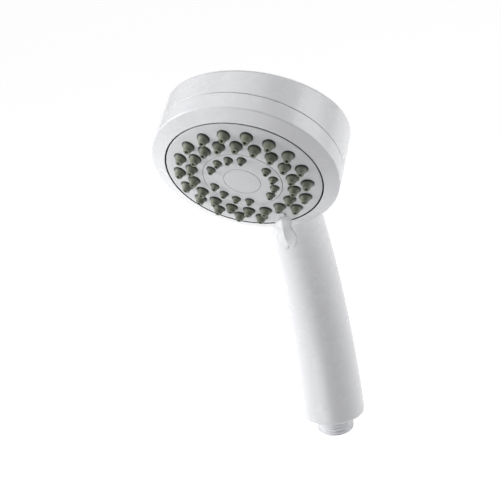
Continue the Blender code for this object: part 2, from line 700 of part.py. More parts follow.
def make_rotor(rotor):
    """Everything that turns with the spray face."""
    make_spray_plate(rotor)
    make_rose(rotor)
    make_cap(rotor)
    outer = PLATE_RADIUS - PLATE_SKIRT_WALL - FIT_GAP
    make_mat("outer_nozzle_mat", ROSE_RADIUS + 2 * FIT_GAP, outer, outer_spots(),
             NOZZLE_RADIUS, NOZZLE_TIP_RADIUS, NOZZLE_RISE, rotor)
    make_mat("inner_nozzle_mat", ROSE_FLOOR_RADIUS + FIT_GAP, ROSE_RADIUS, inner_spots(),
             INNER_NOZZLE_RADIUS, INNER_NOZZLE_TIP_RADIUS, INNER_NOZZLE_RISE, rotor)
    make_distributor(rotor)
    hub_seal = dome(CAP_RADIUS + FIT_GAP) - ROSE_FLOOR_DEPTH - HUB_SEAL_SECTION - SEAT_GAP
    ring_seal("hub_seal", (HUB_RADIUS + HUB_POCKET_RADIUS) / 2, HUB_SEAL_SECTION, hub_seal, rotor)
    for number, spot in enumerate(rotor_screw_spots(), 1):
        low = -ROTOR_BACK + SEAT_GAP
        high = -ROTOR_BACK + ROTOR_HEAD_HEIGHT - SEAT_GAP
        profile = screw_profile(ROTOR_HEAD_RADIUS, -high, -low, ROTOR_SHANK_RADIUS,
                                -high - ROTOR_SHANK_LENGTH)
        flipped = [(radius, -height) for radius, height in profile]
        turned(f"rotor_screw_{number}", flipped, rotor, STEEL, SMALL, spot, closed=False)
    make_lever(rotor)


# Valve and water way

def make_valve_body(head):
    """Fixed chamber plate: spindle, port, click pocket, stop slot and the socket for the tube."""
    face = -(ROTOR_BACK + VALVE_GAP)
    back = face - VALVE_WALL
    pilot = SPINDLE_TOP + WASHER_WALL - PIVOT_SHANK_LENGTH - FIT_GAP
    hole = PIVOT_SHANK_RADIUS + SEAT_GAP
    body = turned("valve_body", [
        (0, back), (VALVE_RADIUS, back), (VALVE_RADIUS, face), (SPINDLE_RADIUS, face),
        (SPINDLE_RADIUS, -SPINDLE_TOP), (hole, -SPINDLE_TOP), (hole, pivot_foot() - FIT_GAP),
        (0, pivot_foot() - FIT_GAP),
    ], head, INNER_WHITE, facets=32, closed=False)
    forward = tube_frame(TUBE_LENGTH)[2]
    mouth = TUBE_END - SOCKET_LENGTH * forward
    bottom = TUBE_END + FIT_GAP * forward
    channel_end = TUBE_END + (TUBE_END_REACH - CHANNEL_END_REACH) * forward
    channel_stop = channel_end - CHANNEL_WALL * forward
    socket = TUBE_RADIUS + FIT_GAP
    fuse(body, rod("socket_body", mouth, bottom + SOCKET_WALL * forward, socket + SOCKET_WALL))
    fuse(body, rod("channel_body", TUBE_END, channel_end, TUBE_BORE_RADIUS + CHANNEL_WALL))
    low = -TUBE_END_DEPTH
    half = (PORT_OUTER_RADIUS - PORT_INNER_RADIUS) / 2
    centre = (PORT_OUTER_RADIUS + PORT_INNER_RADIUS) / 2
    tower = [stadium(centre, half, TOWER_HALF_WIDTH, height) for height in (low, back + VALVE_WALL / 2)]
    fuse(body, skin("port_tower", tower, head))
    cut(body, rod("socket_bore", mouth - OVERCUT * forward, bottom, socket))
    cut(body, rod("channel_bore", bottom - OVERCUT * forward, channel_stop, TUBE_BORE_RADIUS))
    pocket = PORT_BORE_RADIUS + PORT_SEAL_WALL + FIT_GAP
    pocket_floor = face - PORT_POCKET_DEPTH
    rings = [stadium(centre, half, pocket, height) for height in (pocket_floor, face + OVERCUT)]
    cut(body, skin("seal_pocket", rings, head))
    bore_top = pocket_floor + OVERCUT / 2
    rings = [stadium(centre, half, PORT_BORE_RADIUS, height) for height in (low, bore_top)]
    cut(body, skin("port_bore", rings, head))
    seat = face - SCREW_HEAD_HEIGHT - 2 * SEAT_GAP
    for number, spot in enumerate(valve_screw_spots(), 1):
        cut(body, stepped_hole(f"valve_hole_{number}", spot, head, [
            (SCREW_SHANK_RADIUS + FIT_GAP, back - OVERCUT, seat),
            (SCREW_HEAD_RADIUS + FIT_GAP, seat, face + OVERCUT)]))
    slack = math.asin((STOP_RADIUS + FIT_GAP) / STOP_RING)
    first, last = math.pi / 2 - MODE_STEP - slack, math.pi / 2 + MODE_STEP + slack
    inner, outer = STOP_RING - STOP_RADIUS - FIT_GAP, STOP_RING + STOP_RADIUS + FIT_GAP
    rings = []
    for k in range(9):
        angle = first + (last - first) * k / 8
        rings.append([(*polar(inner, angle), back - OVERCUT), (*polar(outer, angle), back - OVERCUT),
                      (*polar(outer, angle), face + OVERCUT), (*polar(inner, angle), face + OVERCUT)])
    cut(body, skin("stop_slot", rings, head))
    x, y = polar(CLICK_RING, CLICK_ANGLE)
    along, wide = CLICK_HALF_LENGTH + FIT_GAP, CLICK_WIDTH / 2 + FIT_GAP
    corners = [(x - wide, y - along), (x + wide, y - along), (x + wide, y + along), (x - wide, y + along)]
    rings = [[(*corner, height) for corner in corners]
             for height in (face - CLICK_POCKET_DEPTH, face + OVERCUT)]
    cut(body, skin("click_pocket", rings, head))
    return centre, half


def pivot_foot():
    """Lower end of the pivot screw."""
    return -SPINDLE_TOP + SEAT_GAP + WASHER_WALL + SEAT_GAP - PIVOT_SHANK_LENGTH


def make_port_parts(head, centre, half):
    """The port's seal and the spring that pushes it against the rotor."""
    top = -(ROTOR_BACK + SEAT_GAP)
    foot = top - PORT_SEAL_HEIGHT
    wide = PORT_BORE_RADIUS + PORT_SEAL_WALL
    rings = [stadium(centre, half, wide, foot), stadium(centre, half, wide, top),
             stadium(centre, half, PORT_BORE_RADIUS, top), stadium(centre, half, PORT_BORE_RADIUS, foot)]
    skin("port_seal", rings, head, BLACK_RUBBER, closed=True)
    low = -(ROTOR_BACK + VALVE_GAP + PORT_POCKET_DEPTH) + SEAT_GAP + PORT_SPRING_WIRE
    high = foot - SEAT_GAP - PORT_SPRING_WIRE
    radius = PORT_BORE_RADIUS + PORT_SPRING_SETBACK
    helix(head, "port_spring", (centre, 0), radius, low, high, PORT_SPRING_TURNS, PORT_SPRING_WIRE)


def helix(parent, name, at, radius, low, high, turns, wire):
    """A coil spring as a bevelled curve with filled ends."""
    curve = bpy.data.curves.new(name, "CURVE")
    curve.dimensions = "3D"
    curve.bevel_depth = wire
    curve.bevel_resolution = 0
    curve.use_fill_caps = True
    count = turns * SMALL + 1
    line = curve.splines.new("POLY")
    line.points.add(count - 1)
    for k, point in enumerate(line.points):
        share = k / (count - 1)
        x, y = polar(radius, math.tau * turns * share)
        point.co = (at[0] + x, at[1] + y, low + (high - low) * share, 1)
    found = bpy.data.objects.new(name, curve)
    found.parent = parent
    bpy.context.collection.objects.link(found)
    dress(found, name, STEEL)


def make_click_spring(head):
    """A bowed steel strip whose small crest rests in a notch of the rotor."""
    face = -(ROTOR_BACK + VALVE_GAP)
    foot = face - CLICK_POCKET_DEPTH + FIT_GAP + CLICK_STRIP / 2
    bow = -ROTOR_BACK - CLICK_BOW_GAP
    crest = -ROTOR_BACK + NOTCH_DEPTH - 1.5 * SEAT_GAP - CLICK_STRIP / 2
    x, y = polar(CLICK_RING, CLICK_ANGLE)
    rings = []
    steps = 32
    for k in range(steps + 1):
        along = CLICK_HALF_LENGTH * (2 * k / steps - 1)
        level = foot + (bow - foot) * (1 - (along / CLICK_HALF_LENGTH) ** 2)
        if abs(along) < CLICK_CREST_HALF:
            level += (crest - bow) * math.cos(math.pi * along / (2 * CLICK_CREST_HALF)) ** 2
        rings.append([(x - CLICK_WIDTH / 2, y + along, level - CLICK_STRIP / 2),
                      (x + CLICK_WIDTH / 2, y + along, level - CLICK_STRIP / 2),
                      (x + CLICK_WIDTH / 2, y + along, level + CLICK_STRIP / 2),
                      (x - CLICK_WIDTH / 2, y + along, level + CLICK_STRIP / 2)])
    skin("click_spring", rings, head, STEEL)


def make_fixings(head):
    """Screws of the valve body, and the washer and screw that keep the rotor on its spindle."""
    face = -(ROTOR_BACK + VALVE_GAP)
    for number, spot in enumerate(valve_screw_spots(), 1):
        top = face - SEAT_GAP
        profile = screw_profile(SCREW_HEAD_RADIUS, top - SCREW_HEAD_HEIGHT, top,
                                SCREW_SHANK_RADIUS, face - VALVE_WALL - SCREW_LENGTH)
        turned(f"valve_screw_{number}", profile, head, STEEL, SMALL, spot, closed=False)
    low = -SPINDLE_TOP + SEAT_GAP
    high = low + WASHER_WALL
    hole = PIVOT_SHANK_RADIUS + SEAT_GAP
    turned("pivot_washer", [(hole, low), (WASHER_RADIUS, low), (WASHER_RADIUS, high), (hole, high)],
           head, STEEL, facets=MEDIUM)
    profile = screw_profile(PIVOT_HEAD_RADIUS, high + SEAT_GAP, high + SEAT_GAP + PIVOT_HEAD_HEIGHT,
                            PIVOT_SHANK_RADIUS, pivot_foot())
    turned("pivot_screw", profile, head, STEEL, SMALL, closed=False)


def tube_stations():
    """(Along the curve, outer radius) of the water tube, with a seal groove near each end."""
    first, last = TUBE_START, TUBE_LENGTH
    floor = TUBE_RADIUS - GROOVE_DEPTH
    half = GROOVE_WIDTH / 2
    low, high = first + GROOVE_SETBACK, last - GROOVE_SETBACK
    stations = [(first, TUBE_RADIUS), (low - half, TUBE_RADIUS), (low - half, floor),
                (low + half, floor), (low + half, TUBE_RADIUS)]
    run = (high - low - 2 * half) / TUBE_STEPS
    stations += [(low + half + run * k, TUBE_RADIUS) for k in range(1, TUBE_STEPS)]
    stations += [(high - half, TUBE_RADIUS), (high - half, floor), (high + half, floor),
                 (high + half, TUBE_RADIUS), (last, TUBE_RADIUS)]
    return stations, low, high


def make_tube():
    """Water tube with its bore, and the two seals in its grooves."""
    stations, low, high = tube_stations()
    rings = []
    for along, radius in stations:
        point, across, forward = tube_frame(along)
        rings.append(round_ring(point, across, radius, TUBE_FACETS))
    for k in range(TUBE_STEPS, -1, -1):
        along = TUBE_START + (TUBE_LENGTH - TUBE_START) * k / TUBE_STEPS
        point, across, forward = tube_frame(along)
        rings.append(round_ring(point, across, TUBE_BORE_RADIUS, TUBE_FACETS))
    skin("water_tube", rings, None, INNER_WHITE, closed=True)
    major = TUBE_RADIUS - GROOVE_DEPTH + SEAT_GAP / 2 + TUBE_SEAL_SECTION
    for name, along in (("tube_lower_seal", low), ("tube_upper_seal", high)):
        point, across, forward = tube_frame(along)
        turns = [math.tau * k / TINY for k in range(TINY)]
        rings = [round_ring(point + TUBE_SEAL_SECTION * math.sin(a) * forward, across,
                            major + TUBE_SEAL_SECTION * math.cos(a), TUBE_FACETS) for a in turns]
        skin(name, rings, None, BLACK_RUBBER, closed=True)


def thread_ring(height, facets):
    """Section of the hose thread: a rounded helical ridge that fades in and out at its ends."""
    fade = min(1, max(0, (height - THREAD_CHAMFER) / THREAD_PITCH),
               max(0, (THREAD_LENGTH - height) / THREAD_PITCH))
    ring = []
    for k in range(facets):
        phase = math.tau * (height / THREAD_PITCH - k / facets)
        groove = THREAD_DEPTH * fade * (0.5 - 0.5 * math.cos(phase))
        taper = THREAD_CHAMFER * max(0, 1 - height / THREAD_CHAMFER)
        x, y = polar(THREAD_RADIUS - groove - taper, math.tau * (k + 0.5) / facets)
        ring.append((x, y, height))
    return ring


def flat_ring(radius, height, facets):
    return [(*polar(radius, math.tau * (k + 0.5) / facets), height) for k in range(facets)]


def make_spigot():
    """Hose spigot: thread, flange in the handle's end, inlet bore and the tube's lower socket."""
    facets = MEDIUM
    rows = 22
    rings = [thread_ring(THREAD_LENGTH * k / rows, facets) for k in range(rows + 1)]
    flange = handle_radius(FLANGE_LENGTH) - WALL - FIT_GAP
    socket = TUBE_RADIUS + FIT_GAP
    outline = [(flange, THREAD_LENGTH), (flange, THREAD_LENGTH + FLANGE_LENGTH),
               (socket + SOCKET_WALL, THREAD_LENGTH + FLANGE_LENGTH), (socket + SOCKET_WALL, SPIGOT_TOP),
               (socket, SPIGOT_TOP), (socket, INLET_DEPTH + LEDGE_LENGTH),
               (TUBE_BORE_RADIUS, INLET_DEPTH + LEDGE_LENGTH), (TUBE_BORE_RADIUS, INLET_DEPTH),
               (INLET_RADIUS, INLET_DEPTH), (INLET_RADIUS, 0)]
    rings += [flat_ring(radius, height, facets) for radius, height in outline]
    skin("hose_spigot", rings, None, WHITE, closed=True)
    low = STRAINER_INSET
    high = low + STRAINER_WALL
    radius = INLET_RADIUS - FIT_GAP
    strainer = disc("inlet_strainer", radius, low, high, None, STEEL)
    holes = [(0, 0)] + [polar(0.58 * radius, math.tau * k / 5) for k in range(5)]
    cut(strainer, many("strainer_holes", lambda x, y: [
        (0, low - OVERCUT), (0.2 * radius, low - OVERCUT),
        (0.2 * radius, high + OVERCUT), (0, high + OVERCUT)], holes, None))
    low = high + FIT_GAP
    high = low + REGULATOR_LENGTH
    turned("flow_regulator", [
        (REGULATOR_BORE, low + REGULATOR_CONE), (0.7 * radius, low), (radius, low), (radius, high),
        (REGULATOR_BORE, high)], None, INNER_WHITE, facets=MEDIUM)


def main():
    clear_scene()
    axes = Matrix((TOWARDS_HANDLE, RIGHT, SPRAY)).transposed().to_4x4()
    head = empty("head_frame", Matrix.Translation(FACE_CENTRE) @ axes)
    rotor = empty("rotor_frame", Matrix.Rotation(LEVER_ANGLE, 4, "Z"), head)
    make_housing(head)
    make_bezel(head)
    make_rotor(rotor)
    centre, half = make_valve_body(head)
    make_port_parts(head, centre, half)
    make_click_spring(head)
    make_fixings(head)
    make_tube()
    make_spigot()


main()
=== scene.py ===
"""Looks of a handheld shower head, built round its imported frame.

Lengths are in millimetres until a mesh is made, and in metres in every mesh. Pieces of the head are
worked out in the head's own axes: x runs from the middle of the spray face towards the handle, y is
the row frame's +X, and z is the outward spray axis. Pieces that turn with the face use the rotor's
axes, which are the same ones turned so that x is the mode lever.
"""
import json
import logging
import math
from dataclasses import dataclass
from enum import Enum

import bmesh
import bpy
import numpy as np
from mathutils import Matrix


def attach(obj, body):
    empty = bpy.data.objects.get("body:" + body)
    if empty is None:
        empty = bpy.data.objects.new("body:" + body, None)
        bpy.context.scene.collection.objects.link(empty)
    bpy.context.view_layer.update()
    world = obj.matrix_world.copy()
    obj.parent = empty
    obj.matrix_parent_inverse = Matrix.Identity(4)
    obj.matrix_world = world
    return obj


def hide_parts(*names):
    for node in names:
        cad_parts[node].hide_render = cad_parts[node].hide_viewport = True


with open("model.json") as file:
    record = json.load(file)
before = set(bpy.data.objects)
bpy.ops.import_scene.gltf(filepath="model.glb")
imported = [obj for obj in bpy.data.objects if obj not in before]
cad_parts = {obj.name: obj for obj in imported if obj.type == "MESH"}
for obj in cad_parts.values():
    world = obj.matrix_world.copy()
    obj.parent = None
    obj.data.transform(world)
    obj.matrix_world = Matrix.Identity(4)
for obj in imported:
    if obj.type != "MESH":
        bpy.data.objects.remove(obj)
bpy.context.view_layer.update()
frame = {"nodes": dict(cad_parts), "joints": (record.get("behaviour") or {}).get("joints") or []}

MM = 0.001
MERGE = 1e-7
SHARP_ANGLE = math.radians(35)
LEVER_ANGLE = math.radians(19.5)
RANGE_SOCKETS = ("From Min", "From Max", "To Min", "To Max")
QUARTER_TURN = np.linspace(0, math.pi / 2, 4)
log = logging.getLogger("shower_head")

Pair = tuple[float, float]
Triple = tuple[float, float, float]
Stations = tuple[np.ndarray, np.ndarray, np.ndarray]
Socket = bpy.types.NodeSocket


class Body(Enum):
    """The two bodies that pieces ride on."""

    HANDSET = "handset"
    FACE = "spray_face"


class Join(Enum):
    """What a guide does to the piece it meets."""

    ADD = "UNION"
    CUT = "DIFFERENCE"


# Finishes

class Sheet:
    """A material's nodes, with short calls that add and join them."""

    def __init__(self, name: str) -> None:
        """Makes an empty material called name, with its shader and object coordinates."""
        self.material = bpy.data.materials.new(name)
        self.material.use_nodes = True
        self.nodes = self.material.node_tree.nodes
        self.links = self.material.node_tree.links
        self.shader = self.nodes["Principled BSDF"]
        self.place = self.nodes.new("ShaderNodeTexCoord").outputs["Object"]

    def join(self, source: Socket, target: Socket) -> None:
        """Joins one socket to another."""
        self.links.new(source, target)

    def noise(self, size: float, detail: float = 3.0) -> Socket:
        """Cloudy noise whose patches are about size millimetres across.

        Args:
            size: width of a patch in millimetres.
            detail: how many finer layers lie over it.
        Returns:
            The noise value, about 0.5 on average.
        """
        node = self.nodes.new("ShaderNodeTexNoise")
        node.inputs["Scale"].default_value = 1 / (size * MM)
        node.inputs["Detail"].default_value = detail
        self.join(self.place, node.inputs["Vector"])
        return node.outputs["Fac"]

    def ranged(self, source: Socket, low: float, high: float,
               start: float = 0.3, end: float = 0.7) -> Socket:
        """Stretches a value that runs from start to end over low to high.

        Args:
            source: the value.
            low: result at start.
            high: result at end.
            start: value that gives low.
            end: value that gives high.
        Returns:
            The stretched value.
        """
        node = self.nodes.new("ShaderNodeMapRange")
        self.join(source, node.inputs["Value"])
        for socket, number in zip(RANGE_SOCKETS, (start, end, low, high)):
            node.inputs[socket].default_value = number
        return node.outputs["Result"]

    def blended(self, share: Socket, first: Triple,
                second: Socket | Triple) -> Socket:
        """A colour between first, at share 0, and second, at share 1."""
        node = self.nodes.new("ShaderNodeMix")
        node.data_type = "RGBA"
        self.join(share, node.inputs["Factor"])
        node.inputs[6].default_value = (*first, 1)
        if isinstance(second, tuple):
            node.inputs[7].default_value = (*second, 1)
        else:
            self.join(second, node.inputs[7])
        return node.outputs[2]

    def bumped(self, height: Socket, depth: float,
               under: Socket | None = None) -> Socket:
        """A surface normal tipped by height, which stands depth millimetres tall.

        Args:
            height: value from 0 to 1.
            depth: how tall 1 stands, in millimetres.
            under: normal of a coarser bump below this one.
        Returns:
            The normal.
        """
        node = self.nodes.new("ShaderNodeBump")
        node.inputs["Distance"].default_value = depth * MM
        self.join(height, node.inputs["Height"])
        if under is not None:
            self.join(under, node.inputs["Normal"])
        return node.outputs["Normal"]


@dataclass(frozen=True)
class Finish:
    """A surface finish: colour, gloss, and the clouding, sink and grain that lie over them."""

    name: str
    slot: str
    colour: Triple
    cloud_colour: Triple
    roughness: float
    roughness_spread: float = 0.05
    metallic: float = 0.0
    coat: float = 0.0
    coat_roughness: float = 0.1
    sheen: float = 0.0
    cloud_size: float = 14.0
    sink_size: float = 30.0
    sink_depth: float = 0.02
    grain_size: float = 0.4
    grain_depth: float = 0.002

    def material(self) -> bpy.types.Material:
        """The finish as a Blender material, made once and then shared."""
        made = bpy.data.materials.get(self.name)
        return made or self.built()

    def built(self) -> bpy.types.Material:
        """Makes the material's nodes."""
        sheet = Sheet(self.name)
        shader = sheet.shader.inputs
        shader["Metallic"].default_value = self.metallic
        shader["Coat Weight"].default_value = self.coat
        shader["Coat Roughness"].default_value = self.coat_roughness
        shader["Sheen Weight"].default_value = self.sheen
        sheet.join(self.tone(sheet), shader["Base Color"])
        low, high = self.roughness - self.roughness_spread, self.roughness + self.roughness_spread
        sheet.join(sheet.ranged(sheet.noise(self.cloud_size / 4), low, high), shader["Roughness"])
        sheet.join(self.relief(sheet), shader["Normal"])
        return sheet.material

    def tone(self, sheet: Sheet) -> Socket:
        """Base colour: the finish's colour, clouded with its second colour."""
        share = sheet.ranged(sheet.noise(self.cloud_size), 0.0, 1.0)
        return sheet.blended(share, self.colour, self.cloud_colour)

    def relief(self, sheet: Sheet) -> Socket:
        """Surface normal: fine grain over slow sink marks."""
        slow = sheet.bumped(sheet.noise(self.sink_size, 1.0), self.sink_depth)
        return sheet.bumped(sheet.noise(self.grain_size), self.grain_depth, slow)


@dataclass(frozen=True)
class NozzleSkin(Finish):
    """Soft nozzle rubber, with painted shade: near black round each foot, where the nozzle meets its
    hole, and paler towards the thin tip.
    """

    # painted shade: near-black colour round each nozzle's foot, where it sinks into its hole
    painted_foot_shade: Triple = (0.022, 0.025, 0.020)

    def tone(self, sheet: Sheet) -> Socket:
        """Clouded rubber with painted shade: it turns to the near-black foot colour where the rise
        attribute is low.
        """
        rise = sheet.nodes.new("ShaderNodeAttribute")
        rise.attribute_name = "rise"
        share = sheet.ranged(rise.outputs["Fac"], 0.0, 1.0, 0.10, 0.30)
        # painted shade: below a tenth of the rise the nozzle is near black, blending to its own colour
        # by three tenths
        return sheet.blended(share, self.painted_foot_shade, super().tone(sheet))


@dataclass(frozen=True)
class DrawnSteel(Finish):
    """Bright steel with fine drawing lines along the row frame's Z."""

    def relief(self, sheet: Sheet) -> Socket:
        """Surface normal: noise stretched into lines."""
        stretch = sheet.nodes.new("ShaderNodeMapping")
        stretch.inputs["Scale"].default_value = (1.0, 1.0, 0.05)
        sheet.join(sheet.place, stretch.inputs["Vector"])
        sheet.place = stretch.outputs["Vector"]
        return sheet.bumped(sheet.noise(self.grain_size), self.grain_depth)


WHITE_SHELL = Finish("gloss_white_shell", "white_shell", (0.855, 0.861, 0.882), (0.846, 0.852, 0.874),
                     0.27, 0.015, coat=0.12, coat_roughness=0.12, cloud_size=45.0, grain_depth=0.0003)
GAP_SHADE = Finish("shaded_gap_wall", "white_shell", (0.03, 0.03, 0.033), (0.04, 0.04, 0.043), 0.6)
SATIN_FACE = Finish("satin_face_plastic", "satin_face", (0.76, 0.77, 0.785), (0.73, 0.745, 0.765),
                    0.36, cloud_size=9.0, grain_size=0.22, grain_depth=0.008)
INNER_PLASTIC = Finish("matt_inner_plastic", "inner_plastic", (0.62, 0.63, 0.64), (0.56, 0.57, 0.585),
                       0.48, cloud_size=6.0, grain_depth=0.010)
NOZZLE_RUBBER = NozzleSkin("soft_nozzle_rubber", "nozzle_rubber", (0.255, 0.275, 0.215),
                           (0.205, 0.225, 0.170), 0.50, sheen=0.15, cloud_size=3.0,
                           sink_size=2.5, sink_depth=0.03, grain_size=0.18, grain_depth=0.012)
SEAL_RUBBER = Finish("black_seal_rubber", "seal_rubber", (0.022, 0.022, 0.024), (0.035, 0.035, 0.037),
                     0.62, sheen=0.1, cloud_size=2.0, grain_depth=0.012)
STEEL = DrawnSteel("drawn_steel", "steel", (0.62, 0.63, 0.65), (0.55, 0.56, 0.585),
                   0.28, metallic=1.0, cloud_size=3.0, grain_size=0.15, grain_depth=0.006)


# Shapes

@dataclass(frozen=True)
class Axes:
    """Axes in the row frame: an origin in metres and three unit rows, x, y and z."""

    origin: np.ndarray
    rows: np.ndarray

    def to_row(self, points: np.ndarray) -> np.ndarray:
        """Points in these axes, in millimetres, as points of the row frame in metres."""
        return self.origin + MM * points @ self.rows

    def from_row(self, points: np.ndarray) -> np.ndarray:
        """Points of the row frame, in metres, as points in these axes in millimetres."""
        return (points - self.origin) @ self.rows.T / MM

    def turned(self, angle: float) -> "Axes":
        """The same axes turned about their own z."""
        c, s = math.cos(angle), math.sin(angle)
        return Axes(self.origin, np.array(((c, s, 0), (-s, c, 0), (0, 0, 1))) @ self.rows)


def head_axes() -> Axes:
    """The head's axes, from the joint that the spray face turns on."""
    joint = frame["joints"][0]
    spray = np.array(joint["axis"], float)
    spray /= np.linalg.norm(spray)
    towards_handle = np.array((0.0, -spray[2], spray[1]))
    return Axes(np.array(joint["pos_m"], float), np.array((towards_handle, (1.0, 0.0, 0.0), spray)))


ROW_AXES = Axes(np.zeros(3), np.eye(3))


@dataclass(frozen=True)
class Grid:
    """A grid of points (rows, columns, 3) that makes a surface, closed along its columns."""

    points: np.ndarray
    closed_rows: bool = True

    def faces(self, first: int = 0) -> np.ndarray:
        """Four-sided faces between neighbouring points, counted from first."""
        rows, columns = self.points.shape[:2]
        row = np.arange(rows if self.closed_rows else rows - 1)[:, None]
        column = np.arange(columns)[None, :]
        after_row, after_column = (row + 1) % rows, (column + 1) % columns
        corners = (row * columns + column, row * columns + after_column,
                   after_row * columns + after_column, after_row * columns + column)
        return first + np.stack(np.broadcast_arrays(*corners), axis=-1).reshape(-1, 4)


def mesh_of(name: str, grids: list[Grid], axes: Axes) -> bpy.types.Mesh:
    """One mesh of several grids, with doubled points merged and faces turned outwards.

    Args:
        name: the mesh's name.
        grids: closed surfaces in the given axes, in millimetres.
        axes: the axes they are worked out in.
    Returns:
        The mesh, in the row frame, in metres.
    """
    starts = np.cumsum([0] + [grid.points.shape[0] * grid.points.shape[1] for grid in grids])
    points = np.concatenate([axes.to_row(grid.points.reshape(-1, 3)) for grid in grids])
    faces = np.concatenate([grid.faces(start) for grid, start in zip(grids, starts)])
    mesh = bpy.data.meshes.new(name)
    mesh.from_pydata(points.tolist(), [], faces.tolist())
    shape = bmesh.new()
    shape.from_mesh(mesh)
    bmesh.ops.remove_doubles(shape, verts=shape.verts, dist=MERGE)
    bmesh.ops.dissolve_degenerate(shape, edges=shape.edges, dist=MERGE)
    bmesh.ops.recalc_face_normals(shape, faces=shape.faces)
    shape.to_mesh(mesh)
    shape.free()
    return mesh


def new_object(name: str, data: bpy.types.ID) -> bpy.types.Object:
    """An object of a mesh, lamp or camera, at the origin."""
    made = bpy.data.objects.new(name, data)
    bpy.context.scene.collection.objects.link(made)
    return made


def solid(name: str, grids: list[Grid], axes: Axes) -> bpy.types.Object:
    """An object made of closed surfaces that are given in some axes."""
    return new_object(name, mesh_of(name, grids, axes))


def combine(piece: bpy.types.Object, join: Join, name: str, grids: list[Grid], axes: Axes) -> None:
    """Adds a guide's shape to a piece or cuts it away, and removes the guide.

    Args:
        piece: the object to change.
        join: whether to add or cut.
        name: the guide's name.
        grids: the guide's closed surfaces.
        axes: the axes they are worked out in.
    """
    guide = solid(name, grids, axes)
    change = piece.modifiers.new(name, "BOOLEAN")
    change.operation, change.object, change.solver = join.value, guide, "EXACT"
    depsgraph = bpy.context.evaluated_depsgraph_get()
    mesh = bpy.data.meshes.new_from_object(piece.evaluated_get(depsgraph))
    piece.modifiers.remove(change)
    piece.data = mesh
    bpy.data.objects.remove(guide)


def rounded(corners: list[Triple], closed: bool = True,
            steps: int = 6, support: float = 0.12) -> np.ndarray:
    """Outline through (radius, height, rounding) corners.

    Each corner becomes an arc that touches both of its sides: its centre lies on the line that
    halves the corner, at rounding / sin(half the corner's angle), and its ends lie at
    rounding / tan(half the angle) along the sides. One more point on each side keeps the shading of
    the flat beside it level.

    Args:
        corners: radius, height and rounding of each corner.
        closed: whether the last corner joins the first.
        steps: parts of each arc.
        support: distance of the extra points past the arc.
    Returns:
        Points (radius, height), as one array.
    """
    values = np.array(corners, float)
    here, rounding = values[:, :2], values[:, 2]
    before, after = np.roll(here, 1, axis=0), np.roll(here, -1, axis=0)
    if not closed:
        before[0], after[-1] = 2 * here[0] - here[1], 2 * here[-1] - here[-2]
    back, on = before - here, after - here
    back_length = np.linalg.norm(back, axis=1, keepdims=True)
    on_length = np.linalg.norm(on, axis=1, keepdims=True)
    back, on = back / back_length, on / on_length
    half = np.clip(np.arccos(np.clip((back * on).sum(axis=1), -1, 1)) / 2, 1e-3, math.pi / 2 - 1e-4)
    limit = 0.48 * np.minimum(back_length, on_length)[:, 0]
    reach = np.minimum(rounding / np.tan(half), limit)
    radius = reach * np.tan(half)
    middle = back + on
    middle /= np.maximum(np.linalg.norm(middle, axis=1, keepdims=True), 1e-9)
    centre = here + middle * (radius / np.sin(half))[:, None]
    first = here + back * reach[:, None] - centre
    last = here + on * reach[:, None] - centre
    sweep = (math.pi - 2 * half)[:, None, None]
    share = np.linspace(0, 1, steps + 1)[None, :, None]
    arcs = centre[:, None] + (np.sin((1 - share) * sweep) * first[:, None]
                              + np.sin(share * sweep) * last[:, None]) / np.sin(sweep)
    extra = np.minimum(np.where(rounding > 0, support, 0), limit - reach).clip(0)[:, None]
    before_arc, after_arc = arcs[:, 0] + back * extra, arcs[:, -1] + on * extra
    outline = np.concatenate([before_arc[:, None], arcs, after_arc[:, None]], axis=1).reshape(-1, 2)
    if not closed:
        outline = outline[1:-1]
    step = np.linalg.norm(outline - np.roll(outline, 1, axis=0), axis=1)
    step[0] = 1 if not closed else step[0]
    return outline[step > 1e-4]


def turned(profile: np.ndarray, facets: int, closed: bool = True,
           at: Pair = (0.0, 0.0)) -> Grid:
    """A profile of (radius, height) points spun round z: x = radius cos(turn), y = radius sin(turn)."""
    turns = math.tau * (np.arange(facets) + 0.5) / facets
    radius, height = profile[:, :1], profile[:, 1:]
    x, y = at[0] + radius * np.cos(turns), at[1] + radius * np.sin(turns)
    return Grid(np.stack(np.broadcast_arrays(x, y, height), axis=-1), closed)


def copies(profile: np.ndarray, spots: np.ndarray, facets: int, level: "Dome") -> list[Grid]:
    """A small turned solid at each spot, with its heights counted from the dome under every point.

    Args:
        profile: (radius, height) points from the lowest on the axis to the highest on the axis.
        spots: (x, y) of each copy.
        facets: sides of each copy.
        level: the dome they stand on.
    Returns:
        One grid for each copy.
    """
    points = turned(profile, facets, closed=False).points
    placed = points[None] + np.concatenate([spots, np.zeros((len(spots), 1))], axis=1)[:, None, None]
    placed[..., 2] += level.height(np.hypot(placed[..., 0], placed[..., 1]))
    return [Grid(one, False) for one in placed]


def polar(radius: float | np.ndarray, angle: float | np.ndarray) -> np.ndarray:
    """(x, y) at a radius and an angle."""
    return np.stack([radius * np.cos(angle), radius * np.sin(angle)], axis=-1)


def eased(values: np.ndarray) -> np.ndarray:
    """The values with each but the first and last drawn towards its neighbours, (a + 2b + c) / 4."""
    inner = (values[:-2] + 2 * values[1:-1] + values[2:]) / 4
    return np.concatenate([values[:1], inner, values[-1:]])


def smooth_step(value: np.ndarray, start: float, end: float) -> np.ndarray:
    """0 up to start and 1 past end, with a smooth rise 3t^2 - 2t^3 between them."""
    t = np.clip((value - start) / (end - start), 0, 1)
    return t * t * (3 - 2 * t)


def settle(piece: bpy.types.Object, finish: Finish, body: Body, *nodes: str) -> bpy.types.Object:
    """Shades and dresses a finished object, and says what it rides on and stands for.

    Args:
        piece: the object, in the row frame.
        finish: its finish.
        body: the body it rides on.
        nodes: CAD nodes that it stands for.
    Returns:
        The same object.
    """
    piece.data.shade_smooth()
    piece.data.set_sharp_from_angle(angle=SHARP_ANGLE)
    piece.data.materials.clear()
    piece.data.materials.append(finish.material())
    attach(piece, body.value)
    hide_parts(*nodes)
    log.info("%s: %d faces, stands for %s", piece.name, len(piece.data.polygons), ", ".join(nodes))
    return piece


